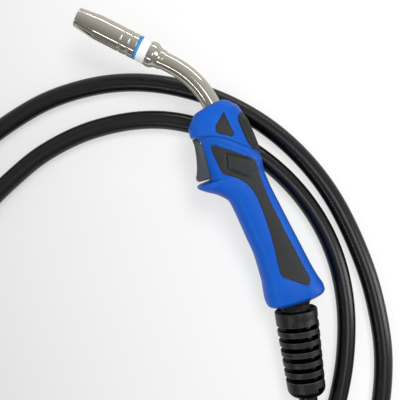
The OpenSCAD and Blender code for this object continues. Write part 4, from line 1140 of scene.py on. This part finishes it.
FINISH = {
    # satin moulded nylon: an even, saturated blue with a fine spark-eroded texture; painted
    # highlight on edges, painted shade in hollows
    "shell_blue": finish("satin_moulded_nylon", "#0351B8", "#075AC1", (0.34, 0.44), 0.35, 0.005,
                         30, ior=1.53, edge=0.05, specular=0.2, hollow_shade=0.45),
    # moulded thermoplastic rubber: charcoal that hardly shines, with a grain one can feel; painted
    # shade in its grooves, painted highlight on edges
    "soft_grip": finish("grained_charcoal_rubber", "#27282A", "#2F3032", (0.55, 0.66), 0.3, 0.02,
                        14, edge=0.05, hollow_shade=0.8),
    # the same rubber, blacker and polished by the thumb, so that its ribs catch the light; painted
    # highlight on their crests, painted shade between them
    "soft_pad": finish("grained_black_rubber", "#151617", "#1A1B1C", (0.42, 0.54), 0.3, 0.014, 14,
                       edge=0.05, hollow_shade=0.6),
    # smooth moulded ABS, a shade glossier than what surrounds it
    "plate_black": finish("smooth_black_plate", "#1D1D1F", "#222224", (0.34, 0.42), 0.5, 0.004, 12),
    # moulded nylon with a fine grain: a cool dark grey, matt where the finger lies; painted
    # highlight on its edges
    "trigger_grey": finish("fine_grained_grey_nylon", "#343B3E", "#3C4347", (0.46, 0.56), 0.3, 0.01,
                           16, edge=0.06),
    # moulded hard plastic: black, with a soft painted highlight along its rounded edges
    "black_plastic": finish("satin_black_plastic", "#0D0D0F", "#131315", (0.36, 0.46), 0.4, 0.006,
                            18, edge=0.03),
    # turned elastomer: black with a sheen on the rings, a little painted highlight on their edges,
    # and the saw cuts painted black as shade
    "support_black": finish("satin_black_elastomer", "#101012", "#161618", (0.3, 0.42), 0.4, 0.005,
                            18, edge=0.04, specular=0.45, painted_slot_shade=True),
    # drawn rubber: near black, with a soft grey sheen and faint lines along the cable
    "cable_rubber": finish("drawn_cable_rubber", "#030304", "#060607", (0.22, 0.32), 1.2, 0.005, 26,
                           stretch=(1.0, 0.05, 1.0), specular=0.5),
    # nickel plate: warm grey metal that mirrors the room, with fine lines along its length and
    # painted shade in its grooves
    "nickel_plate": finish("bright_nickel_plate", "#CBC5B9", "#D6D1C5", (0.07, 0.12), 1.5, 0.0006,
                           9, metallic=1.0, stretch=(1.0, 0.03, 1.0), hollow_shade=0.6),
    # drawn or turned metals, bright but not polished: they blur what they mirror
    "spring_steel": finish("bright_steel", "#8E8E90", "#A0A0A2", (0.25, 0.38), 0.5, 0.004, 6,
                           metallic=1.0),
    "brass": finish("turned_brass", "#B08B45", "#C4A05A", (0.25, 0.38), 0.5, 0.004, 8,
                    metallic=1.0),
    "copper": finish("drawn_copper", "#B06A46", "#C07C56", (0.28, 0.4), 0.5, 0.004, 8,
                     metallic=1.0),
    # matt glass-filled plastic, just off white
    "insulator_white": finish("matt_white_insulator", "#E6E8E8", "#EEF0F0", (0.5, 0.62), 0.3, 0.006,
                              8),
    # silicone and plastics of small inner pieces: plain colours, each a little cloudy
    "seal_blue": finish("soft_blue_silicone", "#2C86D4", "#3A94E0", (0.45, 0.55), 0.4, 0.006, 8),
    "insulation": finish("cream_insulation", "#CFC8AE", "#DAD3BA", (0.5, 0.62), 0.4, 0.006, 10),
    "plunger_red": finish("smooth_red_plastic", "#A8251E", "#B52F27", (0.4, 0.5), 0.4, 0.004, 8),
    "wire_red": finish("red_wire_sleeve", "#94190F", "#A5231A", (0.42, 0.54), 0.5, 0.006, 8),
}
CAD_SLOTS = {
    "copper": ["contact_tip", "neck_conductor"],
    "brass": ["tip_holder", "neck_fitting", "switch_terminals", "cable_nut", "cable_terminal",
              "connector_body", "liner_nut", "control_pin_1", "control_pin_2"],
    "insulation": ["neck_insulation"],
    "spring_steel": ["wire_liner", "trigger_pin", "handle_screws", "connector_screws"],
    "black_plastic": ["switch_body", "connector_shell_upper", "connector_shell_lower", "hand_nut",
                      "connector_boot"],
    "plunger_red": ["switch_plunger"],
    "cable_rubber": ["cable_inner", "spigot_oring"],
}
for slot_name, names in CAD_SLOTS.items():
    for name in names:
        for material_slot in nodes[name].material_slots:
            material_slot.link = "OBJECT"
            material_slot.material = FINISH[slot_name]
for obj in bpy.context.scene.objects:
    if obj.get("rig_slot") in FINISH and obj.type == "MESH":
        obj.data.materials.clear()
        obj.data.materials.append(FINISH[obj["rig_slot"]])
print(len(FINISH), "finishes")
